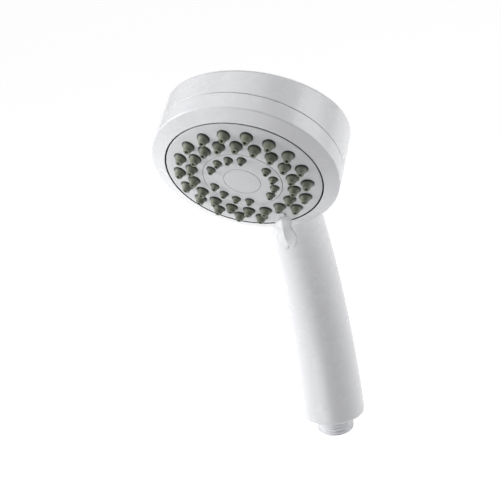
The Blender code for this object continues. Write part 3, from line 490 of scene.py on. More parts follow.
def shade_wall(piece: bpy.types.Object, axes: Axes, radius: float) -> None:
    """Darkens the wall of a piece that stands at a radius, in the narrow gap round the plate.

    Args:
        piece: the dressed piece.
        axes: the head's axes.
        radius: the wall's radius.
    """
    mesh = piece.data
    mesh.materials.append(GAP_SHADE.material())
    centres = np.zeros(3 * len(mesh.polygons))
    mesh.polygons.foreach_get("center", centres)
    x, y, z = axes.from_row(centres.reshape(-1, 3)).T
    shaded = (np.abs(np.hypot(x, y) - radius) < 0.05) & (z < -0.1)
    mesh.polygons.foreach_set("material_index", shaded.astype(np.int32))


# Handle and back of the head

@dataclass
class HandsetShell:
    """The housing: a drum that flows into a long curved handle, as one thin wall."""

    axes: Axes
    wall: float = 2.5
    seam_depth: float = 12.55
    head_radius: float = 47.5
    draft: float = 0.7
    rear_depth: float = 36.4
    rear_tilt: float = math.tan(math.radians(10.2))
    rear_round: float = 2.0
    rear_crown: float = 3.5
    thread_length: float = 10.8
    bend: float = 359.0
    length: float = 163.5
    end_radius: float = 17.9
    top_radius: float = 14.45
    top: Pair = (40.1, -33.7)
    nose: float = 28.0
    nose_lean: float = 0.1317
    nose_curl: float = 0.0055
    end_round: float = 1.2
    seam_round: float = 0.25
    pivot: Pair = (51.0, -14.5)
    front_blend: float = 2.0
    rear_blend: float = 10.0
    columns: int = 160
    longest_step: float = 2.6
    corner_weight: float = 5.5
    blend_depths: Pair = (22.0, 44.0)
    nose_blend: float = 1.5
    inside_share: int = 3
    fan_marks: tuple[float, ...] = (0.0, 3.5, 11.0, 30.0)
    fan_counts: tuple[int, ...] = (9, 33, 36, 81)
    scan_reach: float = 110.0
    scan_steps: int = 600
    close_length: float = 15.0
    close_count: int = 20
    bar_count: int = 48
    rays: int = 480
    ray_reach: float = 100.0
    ray_steps: int = 81
    halvings: int = 22

    def drum(self, x: np.ndarray, y: np.ndarray, z: np.ndarray) -> np.ndarray:
        """Distance to the drum: a drafted side and a tilted, crowned back, rounded where they meet."""
        radius = np.hypot(x, y)
        depth = self.rear_depth + x * self.rear_tilt
        share = np.clip((-self.seam_depth - z) / (depth - self.seam_depth), 0, 1.3)
        side = radius - (self.head_radius - self.draft * share)
        flat = self.head_radius - self.draft - self.rear_round
        back = -z - depth - self.rear_crown * (1 - (radius / flat) ** 2)
        side, back = side + self.rear_round, back + self.rear_round
        outside = np.hypot(side.clip(0), back.clip(0))
        return outside + np.maximum(side, back).clip(max=0) - self.rear_round

    def along(self, x: np.ndarray, z: np.ndarray) -> tuple[np.ndarray, np.ndarray]:
        """Distance from the bend's centre and length along the handle, in the middle plane."""
        origin = self.axes.origin / MM
        towards, spray = self.axes.rows[0], self.axes.rows[2]
        across = origin[1] + x * towards[1] + z * spray[1] + self.bend
        up = origin[2] + x * towards[2] + z * spray[2] - self.thread_length
        return np.hypot(across, up), self.bend * np.arctan2(up, across)

    def handle(self, x: np.ndarray, y: np.ndarray, z: np.ndarray) -> np.ndarray:
        """Distance to the handle: a round bar along an arc that narrows evenly to its top station."""
        reach, length = self.along(x, z)
        taper = (self.top_radius - self.end_radius) / self.length
        bar = np.hypot(reach - self.bend, y) - (self.end_radius + taper * length)
        return np.maximum(bar, length - self.length)

    def nose_end(self, x: np.ndarray, y: np.ndarray, z: np.ndarray) -> np.ndarray:
        """Distance to the handle's rounded end: half an ellipsoid whose axis leans and curls back."""
        run = self.top[0] - x
        kept = run.clip(-10)
        off = np.hypot(z - self.top[1] + kept * (self.nose_lean - self.nose_curl * kept), y)
        long, wide = run / self.nose, off / self.top_radius
        size = np.hypot(long, wide).clip(1e-6)
        return size * (size - 1) / np.hypot(long / self.nose, wide / self.top_radius).clip(1e-6)

    def field(self, points: np.ndarray) -> np.ndarray:
        """Distance to the whole shell's outside, below 0 inside it.

        The smaller of two distances a and b, less (k - |a - b|)^2 / 4k where they are within k of each
        other, flows one shape into the next. k grows from the front of the drum to its back.
        """
        x, y, z = points[..., 0], points[..., 1], points[..., 2]
        behind = smooth_step(-z, *self.blend_depths)
        blend = self.front_blend + (self.rear_blend - self.front_blend) * behind
        bar = self.merged(self.handle(x, y, z), self.nose_end(x, y, z), self.nose_blend)
        return self.merged(self.drum(x, y, z), bar, blend)

    @staticmethod
    def merged(first: np.ndarray, second: np.ndarray, blend: float | np.ndarray) -> np.ndarray:
        """Smooth union of two distances."""
        return np.minimum(first, second) - (blend - np.abs(first - second)).clip(0) ** 2 / (4 * blend)

    def stations(self, fine: bool) -> Stations:
        """Planes that cut the shell one after another, from the seam to the handle's end.

        They are level with the seam at first, then fan out about a line beside the corner between
        drum and handle, and then stand square across the handle.

        Args:
            fine: whether to use the close spacing of the outside.
        Returns:
            Each plane's centre, its in-plane direction towards the fan's line, and the inset there.
        """
        share = 1 if fine else self.inside_share
        parts = self.level_stations(), self.fan_stations(share), self.bar_stations(share)
        centre, ahead, inset = (np.concatenate(values) for values in zip(*parts))
        return centre, ahead, inset

    def level_stations(self) -> Stations:
        """Planes level with the seam: over its rounded edge, then down to the fan's line."""
        sides = np.linspace(-self.seam_depth - 0.5, self.pivot[1], 5)[:-1]
        edge = -self.seam_depth - self.seam_round * (1 - np.cos(QUARTER_TURN))
        level = np.concatenate([edge, sides])
        inset = np.concatenate([self.seam_round * (1 - np.sin(QUARTER_TURN)), 0 * sides])
        centre = np.stack([0 * level, 0 * level, level], axis=1)
        return centre, np.broadcast_to((1.0, 0.0, 0.0), centre.shape), inset

    def fan_stations(self, share: int) -> Stations:
        """Planes that fan out about the pivot line, each centred between the walls it cuts."""
        turn = self.pivot_length() / self.bend
        outward = np.array((0.0, math.cos(turn), math.sin(turn)))
        end = math.atan2(-outward @ self.axes.rows[2], -outward @ self.axes.rows[0])
        marks = (*np.radians(self.fan_marks), end)
        fan = np.concatenate([np.linspace(a, b, count // share, endpoint=False)
                              for a, b, count in zip(marks, marks[1:], self.fan_counts)])
        inward = np.stack([-np.cos(fan), 0 * fan, -np.sin(fan)], axis=1)
        reach = np.linspace(0, self.scan_reach, self.scan_steps)
        pivot = np.array((self.pivot[0], 0, self.pivot[1]))
        inside = self.field(pivot + reach[None, :, None] * inward[:, None]) < 0
        nearest = reach[inside.argmax(axis=1)]
        farthest = reach[len(reach) - 1 - inside[:, ::-1].argmax(axis=1)]
        middle = eased((nearest + farthest) / 2)
        return pivot + middle[:, None] * inward, -inward, np.zeros(len(fan))

    def bar_stations(self, share: int) -> Stations:
        """Planes square across the handle: close at first, then wider, then over its rounded end."""
        start = self.pivot_length()
        close = start - self.close_length
        bar = np.concatenate([np.linspace(start, close, self.close_count // share, endpoint=False),
                              np.linspace(close, self.end_round + 0.3, self.bar_count // share)])
        lengths = np.concatenate([bar, self.end_round * (1 - np.sin(QUARTER_TURN))])
        inset = np.concatenate([0 * bar, self.end_round * (1 - np.cos(QUARTER_TURN))])
        angle = lengths / self.bend
        out = np.stack([0 * angle, np.cos(angle), np.sin(angle)], axis=1)
        row = np.array((0, -self.bend, self.thread_length)) + self.bend * out
        return self.axes.from_row(row * MM), -out @ self.axes.rows.T, inset

    def pivot_length(self) -> float:
        """Length along the handle of the pivot line."""
        across, depth = self.pivot
        return float(self.along(np.array(across), np.array(depth))[1])

    def surface(self, centre: np.ndarray, ahead: np.ndarray, level: np.ndarray,
                turns: np.ndarray) -> np.ndarray:
        """Where rays from each station's centre meet the shell.

        A ray at a turn points along cos(turn) ahead + sin(turn) y. The first change of the field's
        sign along it is found on even steps, and then halved down.

        Args:
            centre: (stations, 3) centres.
            ahead: (stations, 3) directions of turn 0.
            level: (stations,) value of the field to meet.
            turns: (stations, rays) turns.
        Returns:
            (stations, rays, 3) points.
        """
        aside = np.array((0, 1.0, 0))
        ray = np.cos(turns)[..., None] * ahead[:, None] + np.sin(turns)[..., None] * aside
        wanted, start = level[:, None], centre[:, None]
        low, high = np.zeros(turns.shape), np.full(turns.shape, self.ray_reach)
        found = np.zeros(turns.shape, bool)
        for reach in np.linspace(0, self.ray_reach, self.ray_steps)[1:]:
            out = (self.field(start + reach * ray) > wanted) & ~found
            high = np.where(out, reach, high)
            found |= out
            low = np.where(found, low, reach)
        for _ in range(self.halvings):
            middle = (low + high) / 2
            out = self.field(start + middle[..., None] * ray) > wanted
            low, high = np.where(out, low, middle), np.where(out, middle, high)
        return start + ((low + high) / 2)[..., None] * ray

    def skin(self, depth: float, fine: bool) -> np.ndarray:
        """Points of the shell's outside, or of its inside at a depth below it.

        Columns crowd together where a section bends: each station is first traced with even rays, and
        its columns then share out the length and the bending of that section evenly.
        """
        centre, ahead, inset = self.stations(fine)
        level = -(inset if depth == 0 else np.full(len(inset), depth))
        even = math.tau * np.arange(self.rays) / self.rays
        traced = self.surface(centre, ahead, level, np.broadcast_to(even, (len(centre), self.rays)))
        step = np.roll(traced, -1, axis=1) - traced
        size = np.linalg.norm(step, axis=2)
        unit = step / size[..., None]
        bend = np.arccos((unit * np.roll(unit, 1, axis=1)).sum(axis=2).clip(-1, 1))
        bend = (bend + np.roll(bend, -1, axis=1)) / 2
        weight = size / self.longest_step + self.corner_weight * bend
        for _ in range(6):
            weight = (np.roll(weight, 1, axis=1) + 2 * weight + np.roll(weight, -1, axis=1)) / 4
        total = np.concatenate([np.zeros((len(centre), 1)), np.cumsum(weight, axis=1)], axis=1)
        total /= total[:, -1:]
        marks = np.arange(self.columns) / self.columns
        edges = np.append(even, math.tau)
        turns = np.array([np.interp(marks, row, edges) for row in total])
        for _ in range(4 if fine else 1):
            turns = eased(turns)
        return self.surface(centre, ahead, level, turns)

    def build(self) -> bpy.types.Object:
        """Makes the shell: outside from seam to handle end, then inside back to the seam."""
        outside, inside = self.skin(0, True), self.skin(self.wall, False)
        grid = Grid(np.concatenate([outside, inside[::-1]]))
        piece = solid("handle_shell", [grid], self.axes)
        return settle(piece, WHITE_SHELL, Body.HANDSET, "handle_housing")


# Front of the head

@dataclass
class Dome:
    """The spray face's outer surface: height falls with the square of the radius."""

    top: float = 4.15
    radius: float = 39.45

    def height(self, radius: float | np.ndarray) -> float | np.ndarray:
        """Height over the face's edge plane at a radius."""
        return self.top * (1 - (radius / self.radius) ** 2)

    def curve(self, start: float, end: float, drop: float, steps: int) -> list[Triple]:
        """Corners along the dome, lowered by drop, from one radius to another."""
        radii = np.linspace(start, end, steps)
        return [(r, self.height(r) - drop, 0.0) for r in radii.tolist()]


@dataclass
class FaceBezel:
    """Front ring of the drum: straight side, sloping band, rolled rims and the skirt inside."""

    axes: Axes
    radius: float = 47.5
    lip: float = 40.0
    rim_drop: float = 3.3
    rim_round: float = 0.9
    lip_round: float = 0.12
    lip_wall: float = 1.25
    lip_depth: float = 8.0
    foot: float = 12.25
    wall: float = 2.5
    skirt: float = 44.0
    skirt_inside: float = 42.5
    skirt_depth: float = 17.3
    facets: int = 192

    def build(self) -> bpy.types.Object:
        """Spins the ring's rounded section round the spray axis."""
        slope = self.rim_drop / (self.radius - self.lip)
        hollow = self.lip + self.lip_wall
        roof = self.wall + slope * self.lip_wall
        under = roof + slope * (self.skirt_inside - hollow)
        profile = rounded([
            (self.lip, 0.0, self.lip_round), (self.radius, -self.rim_drop, self.rim_round),
            (self.radius, -self.foot, 0.25), (self.skirt, -self.foot, 0.1),
            (self.skirt, -self.skirt_depth, 0.3), (self.skirt_inside, -self.skirt_depth, 0.3),
            (self.skirt_inside, -under, 0.3), (hollow, -roof, 0.3),
            (hollow, -self.lip_depth, 0.2), (self.lip, -self.lip_depth, 0.2),
        ])
        piece = solid("face_bezel", [turned(profile, self.facets)], self.axes)
        settle(piece, WHITE_SHELL, Body.HANDSET, "bezel_ring")
        shade_wall(piece, self.axes, self.lip)
        return piece


@dataclass
class Nozzle:
    """One rubber nozzle: a foot that fills its hole, a hollow flare and a slim rounded tip."""

    radius: float
    tip: float
    rise: float
    jet: float = 0.8
    hole_gap: float = 0.15
    hole_round: float = 0.22

    def outside(self, foot: float) -> np.ndarray:
        """Solid nozzle from foot up to its tip, with heights over the dome."""
        flare = self.radius - self.tip
        return rounded([
            (0.0, foot, 0.0), (self.radius, foot, 0.0), (self.radius, 0.30, 0.12),
            (self.radius - 0.17 * flare, 0.15 * self.rise, 0.5),
            (self.tip + 0.27 * flare, 0.60 * self.rise, 1.2),
            (self.tip, self.rise, 0.30), (0.0, self.rise, 0.0),
        ], closed=False, steps=4, support=0.0)

    def water_way(self, foot: float) -> np.ndarray:
        """The bore, wide behind and narrow at the tip, where it opens into a small bell."""
        return rounded([
            (0.0, foot, 0.0), (0.6 * self.radius, foot, 0.0), (self.jet, self.rise - 0.5, 0.2),
            (self.jet, self.rise - 0.15, 0.0), (self.jet + 0.25, self.rise + 0.1, 0.0),
            (self.jet + 0.25, self.rise + 1, 0.0), (0.0, self.rise + 1, 0.0),
        ], closed=False, steps=3, support=0.0)

    def hole(self, depth: float) -> np.ndarray:
        """The plate's hole round the nozzle, with a rounded rim, as a solid that cuts it."""
        wide, rim = self.radius + self.hole_gap, self.hole_round
        across, down = rim * (1 - np.cos(QUARTER_TURN)), rim * (1 - np.sin(QUARTER_TURN))
        arc = np.stack([wide + across, -down], axis=1)
        return np.concatenate([[(0, -depth), (wide, -depth)], arc,
                               [(wide + rim + 0.05, 0.02), (wide + rim + 0.05, 3), (0, 3)]])


@dataclass
class SprayFace:
    """The turning face: domed plate, middle disc, cap, and the two rubber mats with their nozzles."""

    axes: Axes
    dome: Dome
    outer: Nozzle
    inner: Nozzle
    plate_wall: float = 2.0
    skirt_wall: float = 1.55
    skirt_foot: float = 13.7
    edge: float = 39.25
    disc_radius: float = 19.95
    opening: float = 20.15
    ledge: float = 19.4
    flange: float = 0.95
    cap_radius: float = 9.2
    recess: float = 9.4
    cap_wall: float = 1.1
    cap_bore: float = 7.8
    cap_plug: float = 7.5
    floor_drop: float = 3.0
    floor_radius: float = 13.4
    mat_drop: float = 2.2
    mat_wall: float = 1.4
    outer_ring: float = 32.3
    middle_ring: float = 25.8
    inner_ring: float = 16.3
    ring_places: int = 18
    inner_places: int = 15
    tenon_hole: float = 2.5
    post_ring: float = 11.4
    post_radius: float = 1.9
    pilot_radius: float = 1.15
    pilot_depth: float = 7.7
    post_turns: tuple[float, ...] = (60.0, 180.0, 300.0)
    plate_front: Pair = (38.5, 20.9)
    plate_back: Pair = (21.0, 36.0)
    disc_front: Pair = (19.4, 10.1)
    cap_front: Pair = (0.0, 8.6)
    outer_mat: Pair = (20.55, 37.6)
    inner_mat: Pair = (13.7, 19.95)
    seat_gap: float = 0.2
    shank_step: float = 0.85
    cutter: float = 5.0
    facets: int = 192
    disc_facets: int = 144
    cap_facets: int = 128
    hole_facets: int = 40
    inner_hole_facets: int = 36
    nozzle_facets: int = 32
    bore_facets: int = 20
    post_facets: int = 24

    def outer_spots(self) -> np.ndarray:
        """Places of the outer ring, but for the lever's, and of the middle ring half a pitch on."""
        pitch = math.tau / self.ring_places
        places = np.arange(self.ring_places)
        return np.concatenate([polar(self.outer_ring, places[1:] * pitch),
                               polar(self.middle_ring, (places + 0.5) * pitch)])

    def inner_spots(self) -> np.ndarray:
        """Places of the inner ring: three groups of four, with a plain place between them."""
        places = np.arange(self.inner_places)
        return polar(self.inner_ring, places[places % 5 > 0] * math.tau / self.inner_places)

    def plate(self) -> bpy.types.Object:
        """Domed plate with its skirt, its nozzle holes and the lever's hole."""
        dome, inside = self.dome, self.dome.radius - self.skirt_wall
        step = dome.height(self.opening) - self.flange - self.seat_gap
        corners = [(self.edge, -0.05, 0.3)] + dome.curve(*self.plate_front, 0, 24)
        corners += [(self.opening, dome.height(self.opening), 0.18), (self.opening, step, 0.1),
                    (self.ledge, step, 0.15),
                    (self.ledge, dome.height(self.ledge) - self.plate_wall, 0.1)]
        corners += dome.curve(*self.plate_back, self.plate_wall, 8)
        corners += [(inside, dome.height(inside) - self.plate_wall, 0.3),
                    (inside, -self.skirt_foot, 0.2), (self.edge, -self.skirt_foot, 0.2)]
        piece = solid("nozzle_plate", [turned(rounded(corners), self.facets)], self.axes)
        holes = copies(self.outer.hole(self.cutter), self.outer_spots(), self.hole_facets, dome)
        lever = Nozzle(self.tenon_hole - Nozzle.hole_gap, 0, 0).hole(self.cutter)
        holes += copies(lever, np.array([(self.outer_ring, 0.0)]), self.hole_facets, dome)
        combine(piece, Join.CUT, "plate_holes", holes, self.axes)
        return settle(piece, SATIN_FACE, Body.FACE, "spray_plate")

    def middle_disc(self) -> bpy.types.Object:
        """Disc in the plate's opening, with its nozzle holes, the cap's recess and the screw posts."""
        dome = self.dome
        shelf = dome.height(self.recess) - self.cap_wall - self.seat_gap
        floor = dome.height(self.recess) - self.floor_drop
        shank = self.disc_radius - self.shank_step
        low = dome.height(self.disc_radius) - self.flange
        corners = [(self.disc_radius, dome.height(self.disc_radius), 0.18)]
        corners += dome.curve(*self.disc_front, 0, 16)
        corners += [(self.recess, dome.height(self.recess), 0.15), (self.recess, shelf, 0.1),
                    (self.cap_bore, shelf, 0.1), (self.cap_bore, floor, 0.1),
                    (self.floor_radius, floor, 0.2),
                    (self.floor_radius, dome.height(self.floor_radius) - self.plate_wall, 0.2),
                    (shank, dome.height(shank) - self.plate_wall, 0.2), (shank, low, 0.1),
                    (self.disc_radius, low, 0.1)]
        piece = solid("middle_disc", [turned(rounded(corners), self.disc_facets)], self.axes)
        spots = polar(self.post_ring, np.radians(self.post_turns))
        foot = -self.skirt_foot
        post = rounded([(0, foot, 0), (self.post_radius, foot, 0.15), (self.post_radius, floor + 1, 0),
                        (0, floor + 1, 0)], closed=False, steps=3)
        pilot = np.array([(0, foot - 1), (self.pilot_radius, foot - 1),
                          (self.pilot_radius, foot + self.pilot_depth - 0.4),
                          (0, foot + self.pilot_depth)])
        posts = [turned(post, self.post_facets, False, tuple(spot)) for spot in spots]
        combine(piece, Join.ADD, "posts", posts, self.axes)
        pilots = [turned(pilot, self.bore_facets, False, tuple(spot)) for spot in spots]
        combine(piece, Join.CUT, "pilots", pilots, self.axes)
        holes = copies(self.inner.hole(self.cutter), self.inner_spots(), self.inner_hole_facets, dome)
        combine(piece, Join.CUT, "disc_holes", holes, self.axes)
        return settle(piece, SATIN_FACE, Body.FACE, "inner_rose")

    def cap(self) -> bpy.types.Object:
        """Plain cap in the disc's recess, with a ring-shaped plug behind it."""
        dome = self.dome
        under = dome.height(self.cap_radius) - self.cap_wall
        foot = dome.height(self.cap_radius) - self.floor_drop - self.seat_gap
        corners = dome.curve(*self.cap_front, 0, 9)
        corners += [(self.cap_radius, dome.height(self.cap_radius), 0.2), (self.cap_radius, under, 0.1),
                    (self.cap_plug, under, 0.1), (self.cap_plug, foot, 0.15),
                    (self.cap_plug - self.cap_wall, foot, 0.15),
                    (self.cap_plug - self.cap_wall, under, 0.1), (0.0, under, 0.0)]
        grid = turned(rounded(corners, closed=False), self.cap_facets, closed=False)
        return settle(solid("middle_cap", [grid], self.axes), SATIN_FACE, Body.FACE, "centre_cap")

    def mat(self, name: str, node: str, nozzle: Nozzle, spots: np.ndarray,
            span: Pair) -> bpy.types.Object:
        """A rubber mat behind the face with a nozzle at each spot.

        Args:
            name: the piece's name.
            node: the CAD node it stands for.
            nozzle: the nozzle's shape.
            spots: (x, y) of the nozzles.
            span: the mat's inner and outer radius.
        Returns:
            The piece.
        """
        dome, steps, back = self.dome, 6, self.mat_drop + self.mat_wall
        top = dome.curve(*span, self.mat_drop, steps)
        under = dome.curve(*span[::-1], back, steps)
        piece = solid(name, [turned(rounded(top + under), self.disc_facets)], self.axes)
        foot = -self.mat_drop - self.mat_wall / 2
        cones = copies(nozzle.outside(foot), spots, self.nozzle_facets, dome)
        combine(piece, Join.ADD, name + "_cones", cones, self.axes)
        bores = copies(nozzle.water_way(-back - 1), spots, self.bore_facets, dome)
        combine(piece, Join.CUT, name + "_bores", bores, self.axes)
        self.mark_rise(piece.data, nozzle.rise)
        return settle(piece, NOZZLE_RUBBER, Body.FACE, node)

    def mark_rise(self, mesh: bpy.types.Mesh, rise: float) -> None:
        """Stores each point's height over the dome, as a share of the nozzle's rise; the rubber's
        painted foot shade follows it.
        """
        points = np.zeros(3 * len(mesh.vertices))
        mesh.vertices.foreach_get("co", points)
        x, y, z = self.axes.from_row(points.reshape(-1, 3)).T
        share = (z - self.dome.height(np.hypot(x, y))) / rise
        mesh.attributes.new("rise", "FLOAT", "POINT").data.foreach_set("value", share.clip(0, 1))

    def build(self) -> None:
        """Makes every piece of the face."""
        self.plate()
        self.middle_disc()
        self.cap()
        self.mat("outer_nozzles", "outer_nozzle_mat", self.outer, self.outer_spots(), self.outer_mat)
        self.mat("inner_nozzles", "inner_nozzle_mat", self.inner, self.inner_spots(), self.inner_mat)


@dataclass
class LeafLever:
    """Mode lever: a ridged stem on a round tenon that opens into a two-lobed leaf."""

    axes: Axes
    tenon: float = 2.3
    tenon_reach: float = 32.3
    foot: float = -0.2
    base: Pair = (33.6, 2.2)
    base_pull: Pair = (34.7, 4.2)
    tip_pull: Pair = (39.6, 9.6)
    tip: Pair = (44.9, 14.1)
    notch: float = 1.4
    shoulder: float = 2.4
    stretch: float = 1.04
    tenon_top: float = 1.45
    tenon_bevel: float = 0.15
    marks: tuple[float, ...] = (0, 0.12, 0.25, 0.37, 0.47, 0.58, 0.70, 0.80, 0.90, 1.0)
    half_width: tuple[float, ...] = (2.4, 4.0, 5.6, 5.0, 4.2, 4.7, 5.6, 5.7, 5.1, 4.2)
    thickness: tuple[float, ...] = (0.95, 0.95, 0.9, 0.85, 0.8, 0.8, 0.8, 0.8, 0.75, 0.6)
    ridge: tuple[float, ...] = (0.0, 0.5, 0.7, 0.85, 1.0, 1.1, 1.2, 1.15, 0.9, 0.4)
    smoothing: int = 4
    rows: int = 90
    columns: int = 120

    def centre(self, share: np.ndarray) -> np.ndarray:
        """Cubic curve from the tenon's top to the leaf's end, in the lever's plane."""
        t = share[..., None]
        a, b, c, d = map(np.array, (self.base, self.base_pull, self.tip_pull, self.tip))
        return (1 - t) ** 3 * a + 3 * (1 - t) ** 2 * t * b + 3 * (1 - t) * t ** 2 * c + t ** 3 * d

    def spread(self, values: tuple[float, ...]) -> np.ndarray:
        """A column with one value for each row, read between the marks and smoothed."""
        row = np.interp(np.linspace(0, 1, self.rows), self.marks, values)
        kernel = np.hanning(2 * self.smoothing + 1)
        padded = np.pad(row, self.smoothing, "edge")
        return np.convolve(padded, kernel / kernel.sum(), "valid")[:, None]

    def build(self) -> bpy.types.Object:
        """Sweeps a ridged section along the curve.

        Across the section X = cos(turn) and S = sin(turn). A point stands half width * X to the side
        and thickness * |S|^0.6 off the middle, plus, on the outer side, ridge * (1 - |X|)^p, where p
        grows from the stem to the leaf. Towards the end each line X of the leaf stops short by
        1 - sqrt(1 - q^2) of the notch or the shoulder, where q runs from the lobe's middle to its side.
        """
        share = np.linspace(0, 1, self.rows)[:, None]
        turn = math.tau * np.arange(self.columns)[None, :] / self.columns
        across, off = np.cos(turn), np.sin(turn)
        wide, thick, ridge = map(self.spread, (self.half_width, self.thickness, self.ridge))
        side = np.abs(across)
        lobe = 1 - np.sqrt((1 - (2 * side - 1) ** 2).clip(0))
        end = np.where(side < 0.5, self.notch, self.shoulder) * lobe
        length = np.linalg.norm(np.subtract(self.tip, self.base)) * self.stretch
        along = share - share ** 6 * end / length
        close = np.sqrt((1 - smooth_step(share, 0.93, 1.0) ** 2).clip(0))
        power = 1 - 0.4 * smooth_step(share, 0, 0.2)
        lift = thick * close * np.sign(off) * np.abs(off) ** power
        sharp = 1.15 + 0.75 * smooth_step(share, 0.35, 0.7)
        lift += np.where(off > 0, ridge * close * (1 - side) ** sharp, 0)
        middle = self.centre(along)
        step = 1e-4
        tangent = self.centre(along + step) - self.centre(along - step)
        tangent /= np.linalg.norm(tangent, axis=-1, keepdims=True)
        x = middle[..., 0] - lift * tangent[..., 1]
        z = middle[..., 1] + lift * tangent[..., 0]
        leaf = np.stack([x, wide * across + 0 * x, z], axis=-1)
        level = np.array((self.foot, self.foot + self.tenon_bevel, self.tenon_top))[:, None]
        small = self.tenon - np.array((self.tenon_bevel, 0.0, 0.0))[:, None]
        shank = np.broadcast_arrays(self.tenon_reach - small * off, small * across, level)
        stub = np.stack(shank, axis=-1)
        bottom = np.broadcast_to((self.tenon_reach, 0.0, self.foot), (1, self.columns, 3))
        grid = Grid(np.concatenate([bottom, stub, leaf]), False)
        piece = solid("leaf_lever", [self.closed_end(grid)], self.axes)
        return settle(piece, WHITE_SHELL, Body.FACE, "mode_lever")

    @staticmethod
    def closed_end(grid: Grid) -> Grid:
        """The same grid with its last row's two halves brought together, so that the end closes."""
        points = grid.points.copy()
        last = points[-1]
        mirrored = np.roll(last[::-1], 1, axis=0)
        points[-1] = (last + mirrored) / 2
        return Grid(points, False)


# Hose end

@dataclass
class HoseSpigot:
    """Threaded end with the flange that closes the handle, and the screen in its bore."""

    radius: float = 10.4775
    length: float = 10.8
    pitch: float = 1.814
    depth: float = 1.16
    chamfer: float = 0.9
    bore: float = 7.75
    bore_depth: float = 10.0
    flange: float = 14.99
    flange_length: float = 5.0
    socket: float = 7.3
    socket_wall: float = 2.3
    socket_floor: float = 16.5
    top: float = 28.8
    way: float = 4.6
    screen_low: float = 4.0
    screen_wall: float = 1.0
    screen_radius: float = 7.45
    screen_hole: float = 0.42
    screen_pitch: float = 1.22
    screen_dish: Pair = (5.6, 6.3)
    dish_rise: float = 0.35
    pierced_radius: float = 5.2
    hole_rows: int = 5
    hole_facets: int = 14
    screen_facets: int = 72
    facets: int = 120
    rows: int = 132

    def thread(self) -> np.ndarray:
        """Threaded outside: radius - depth * fade * groove(turns), turns = height / pitch - angle.

        The groove is a raised cosine to the power 0.8, which leaves rounded crests and a rounded root.
        It fades out over one pitch before the flange, and the end is chamfered.
        """
        height = np.linspace(0, self.length, self.rows)[:, None]
        angle = (np.arange(self.facets)[None, :] + 0.5) / self.facets
        fade = np.clip((self.length - height) / self.pitch, 0, 1)
        groove = (0.5 - 0.5 * np.cos(math.tau * (height / self.pitch - angle))) ** 0.8
        cut_back = self.chamfer * np.clip(1 - height / self.chamfer, 0, 1)
        radius = np.minimum(self.radius - self.depth * fade * groove, self.radius - cut_back)
        turn = math.tau * angle
        x, y = radius * np.cos(turn), radius * np.sin(turn)
        return np.stack(np.broadcast_arrays(x, y, height), axis=-1)

    def build(self) -> None:
        """Makes the spigot and its screen."""
        body = rounded([
            (self.flange, self.length, 0.2), (self.flange, self.length + self.flange_length, 0.3),
            (self.socket + self.socket_wall, self.length + self.flange_length, 0.3),
            (self.socket + self.socket_wall, self.top, 0.3), (self.socket, self.top, 0.4),
            (self.socket, self.socket_floor, 0.2), (self.way, self.socket_floor, 0.2),
            (self.way, self.bore_depth, 0.3), (self.bore, self.bore_depth, 0.2), (self.bore, 0.0, 0.3),
            (self.radius - self.chamfer, 0.0, 0.0),
        ], closed=False)[:-1]
        grid = Grid(np.concatenate([self.thread(), turned(body, self.facets).points]))
        settle(solid("threaded_spigot", [grid], ROW_AXES), WHITE_SHELL, Body.HANDSET, "hose_spigot")
        self.screen()

    def screen(self) -> None:
        """Dished steel screen pierced with close rows of small holes."""
        low, high = self.screen_low, self.screen_low + self.screen_wall
        middle, (dish_foot, dish_edge) = low + self.dish_rise, self.screen_dish
        disc = rounded([(0.0, middle, 0.0), (dish_foot, middle, 0.3), (dish_edge, low, 0.2),
                        (self.screen_radius, low, 0.2), (self.screen_radius, high, 0.2),
                        (0.0, high, 0.0)], closed=False, steps=4)
        piece = solid("inlet_screen", [turned(disc, self.screen_facets, False)], ROW_AXES)
        count = np.arange(-self.hole_rows, self.hole_rows + 1)
        row, column = np.meshgrid(count, count)
        x = (self.screen_pitch * (column + row / 2)).ravel()
        y = (self.screen_pitch * math.sqrt(3) / 2 * row).ravel()
        kept = np.hypot(x, y) < self.pierced_radius
        hole = np.array([(0, low - 1), (self.screen_hole, low - 1), (self.screen_hole, high + 1),
                         (0, high + 1)])
        holes = [turned(hole, self.hole_facets, False, at) for at in zip(x[kept], y[kept])]
        combine(piece, Join.CUT, "screen_holes", holes, ROW_AXES)
        settle(piece, STEEL, Body.HANDSET, "inlet_strainer")


# Pieces inside

@dataclass
class InnerWorks:
    """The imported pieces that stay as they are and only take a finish."""

    finishes: tuple[tuple[Finish, tuple[str, ...]], ...] = (
        (INNER_PLASTIC, ("valve_body", "water_tube", "flow_regulator", "distributor_plate")),
        (SEAL_RUBBER, ("port_seal", "hub_seal", "tube_lower_seal", "tube_upper_seal")),
        (STEEL, ("port_spring", "click_spring", "pivot_screw", "pivot_washer", "valve_screw_1",
                 "valve_screw_2", "valve_screw_3", "rotor_screw_1", "rotor_screw_2", "rotor_screw_3")),
    )

    def dress(self) -> None:
        """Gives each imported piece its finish."""
        for finish, names in self.finishes:
            for name in names:
                node = frame["nodes"][name]
                node.data.materials.clear()
                node.data.materials.append(finish.material())
                log.info("%s: %s", name, finish.name)


# Studio

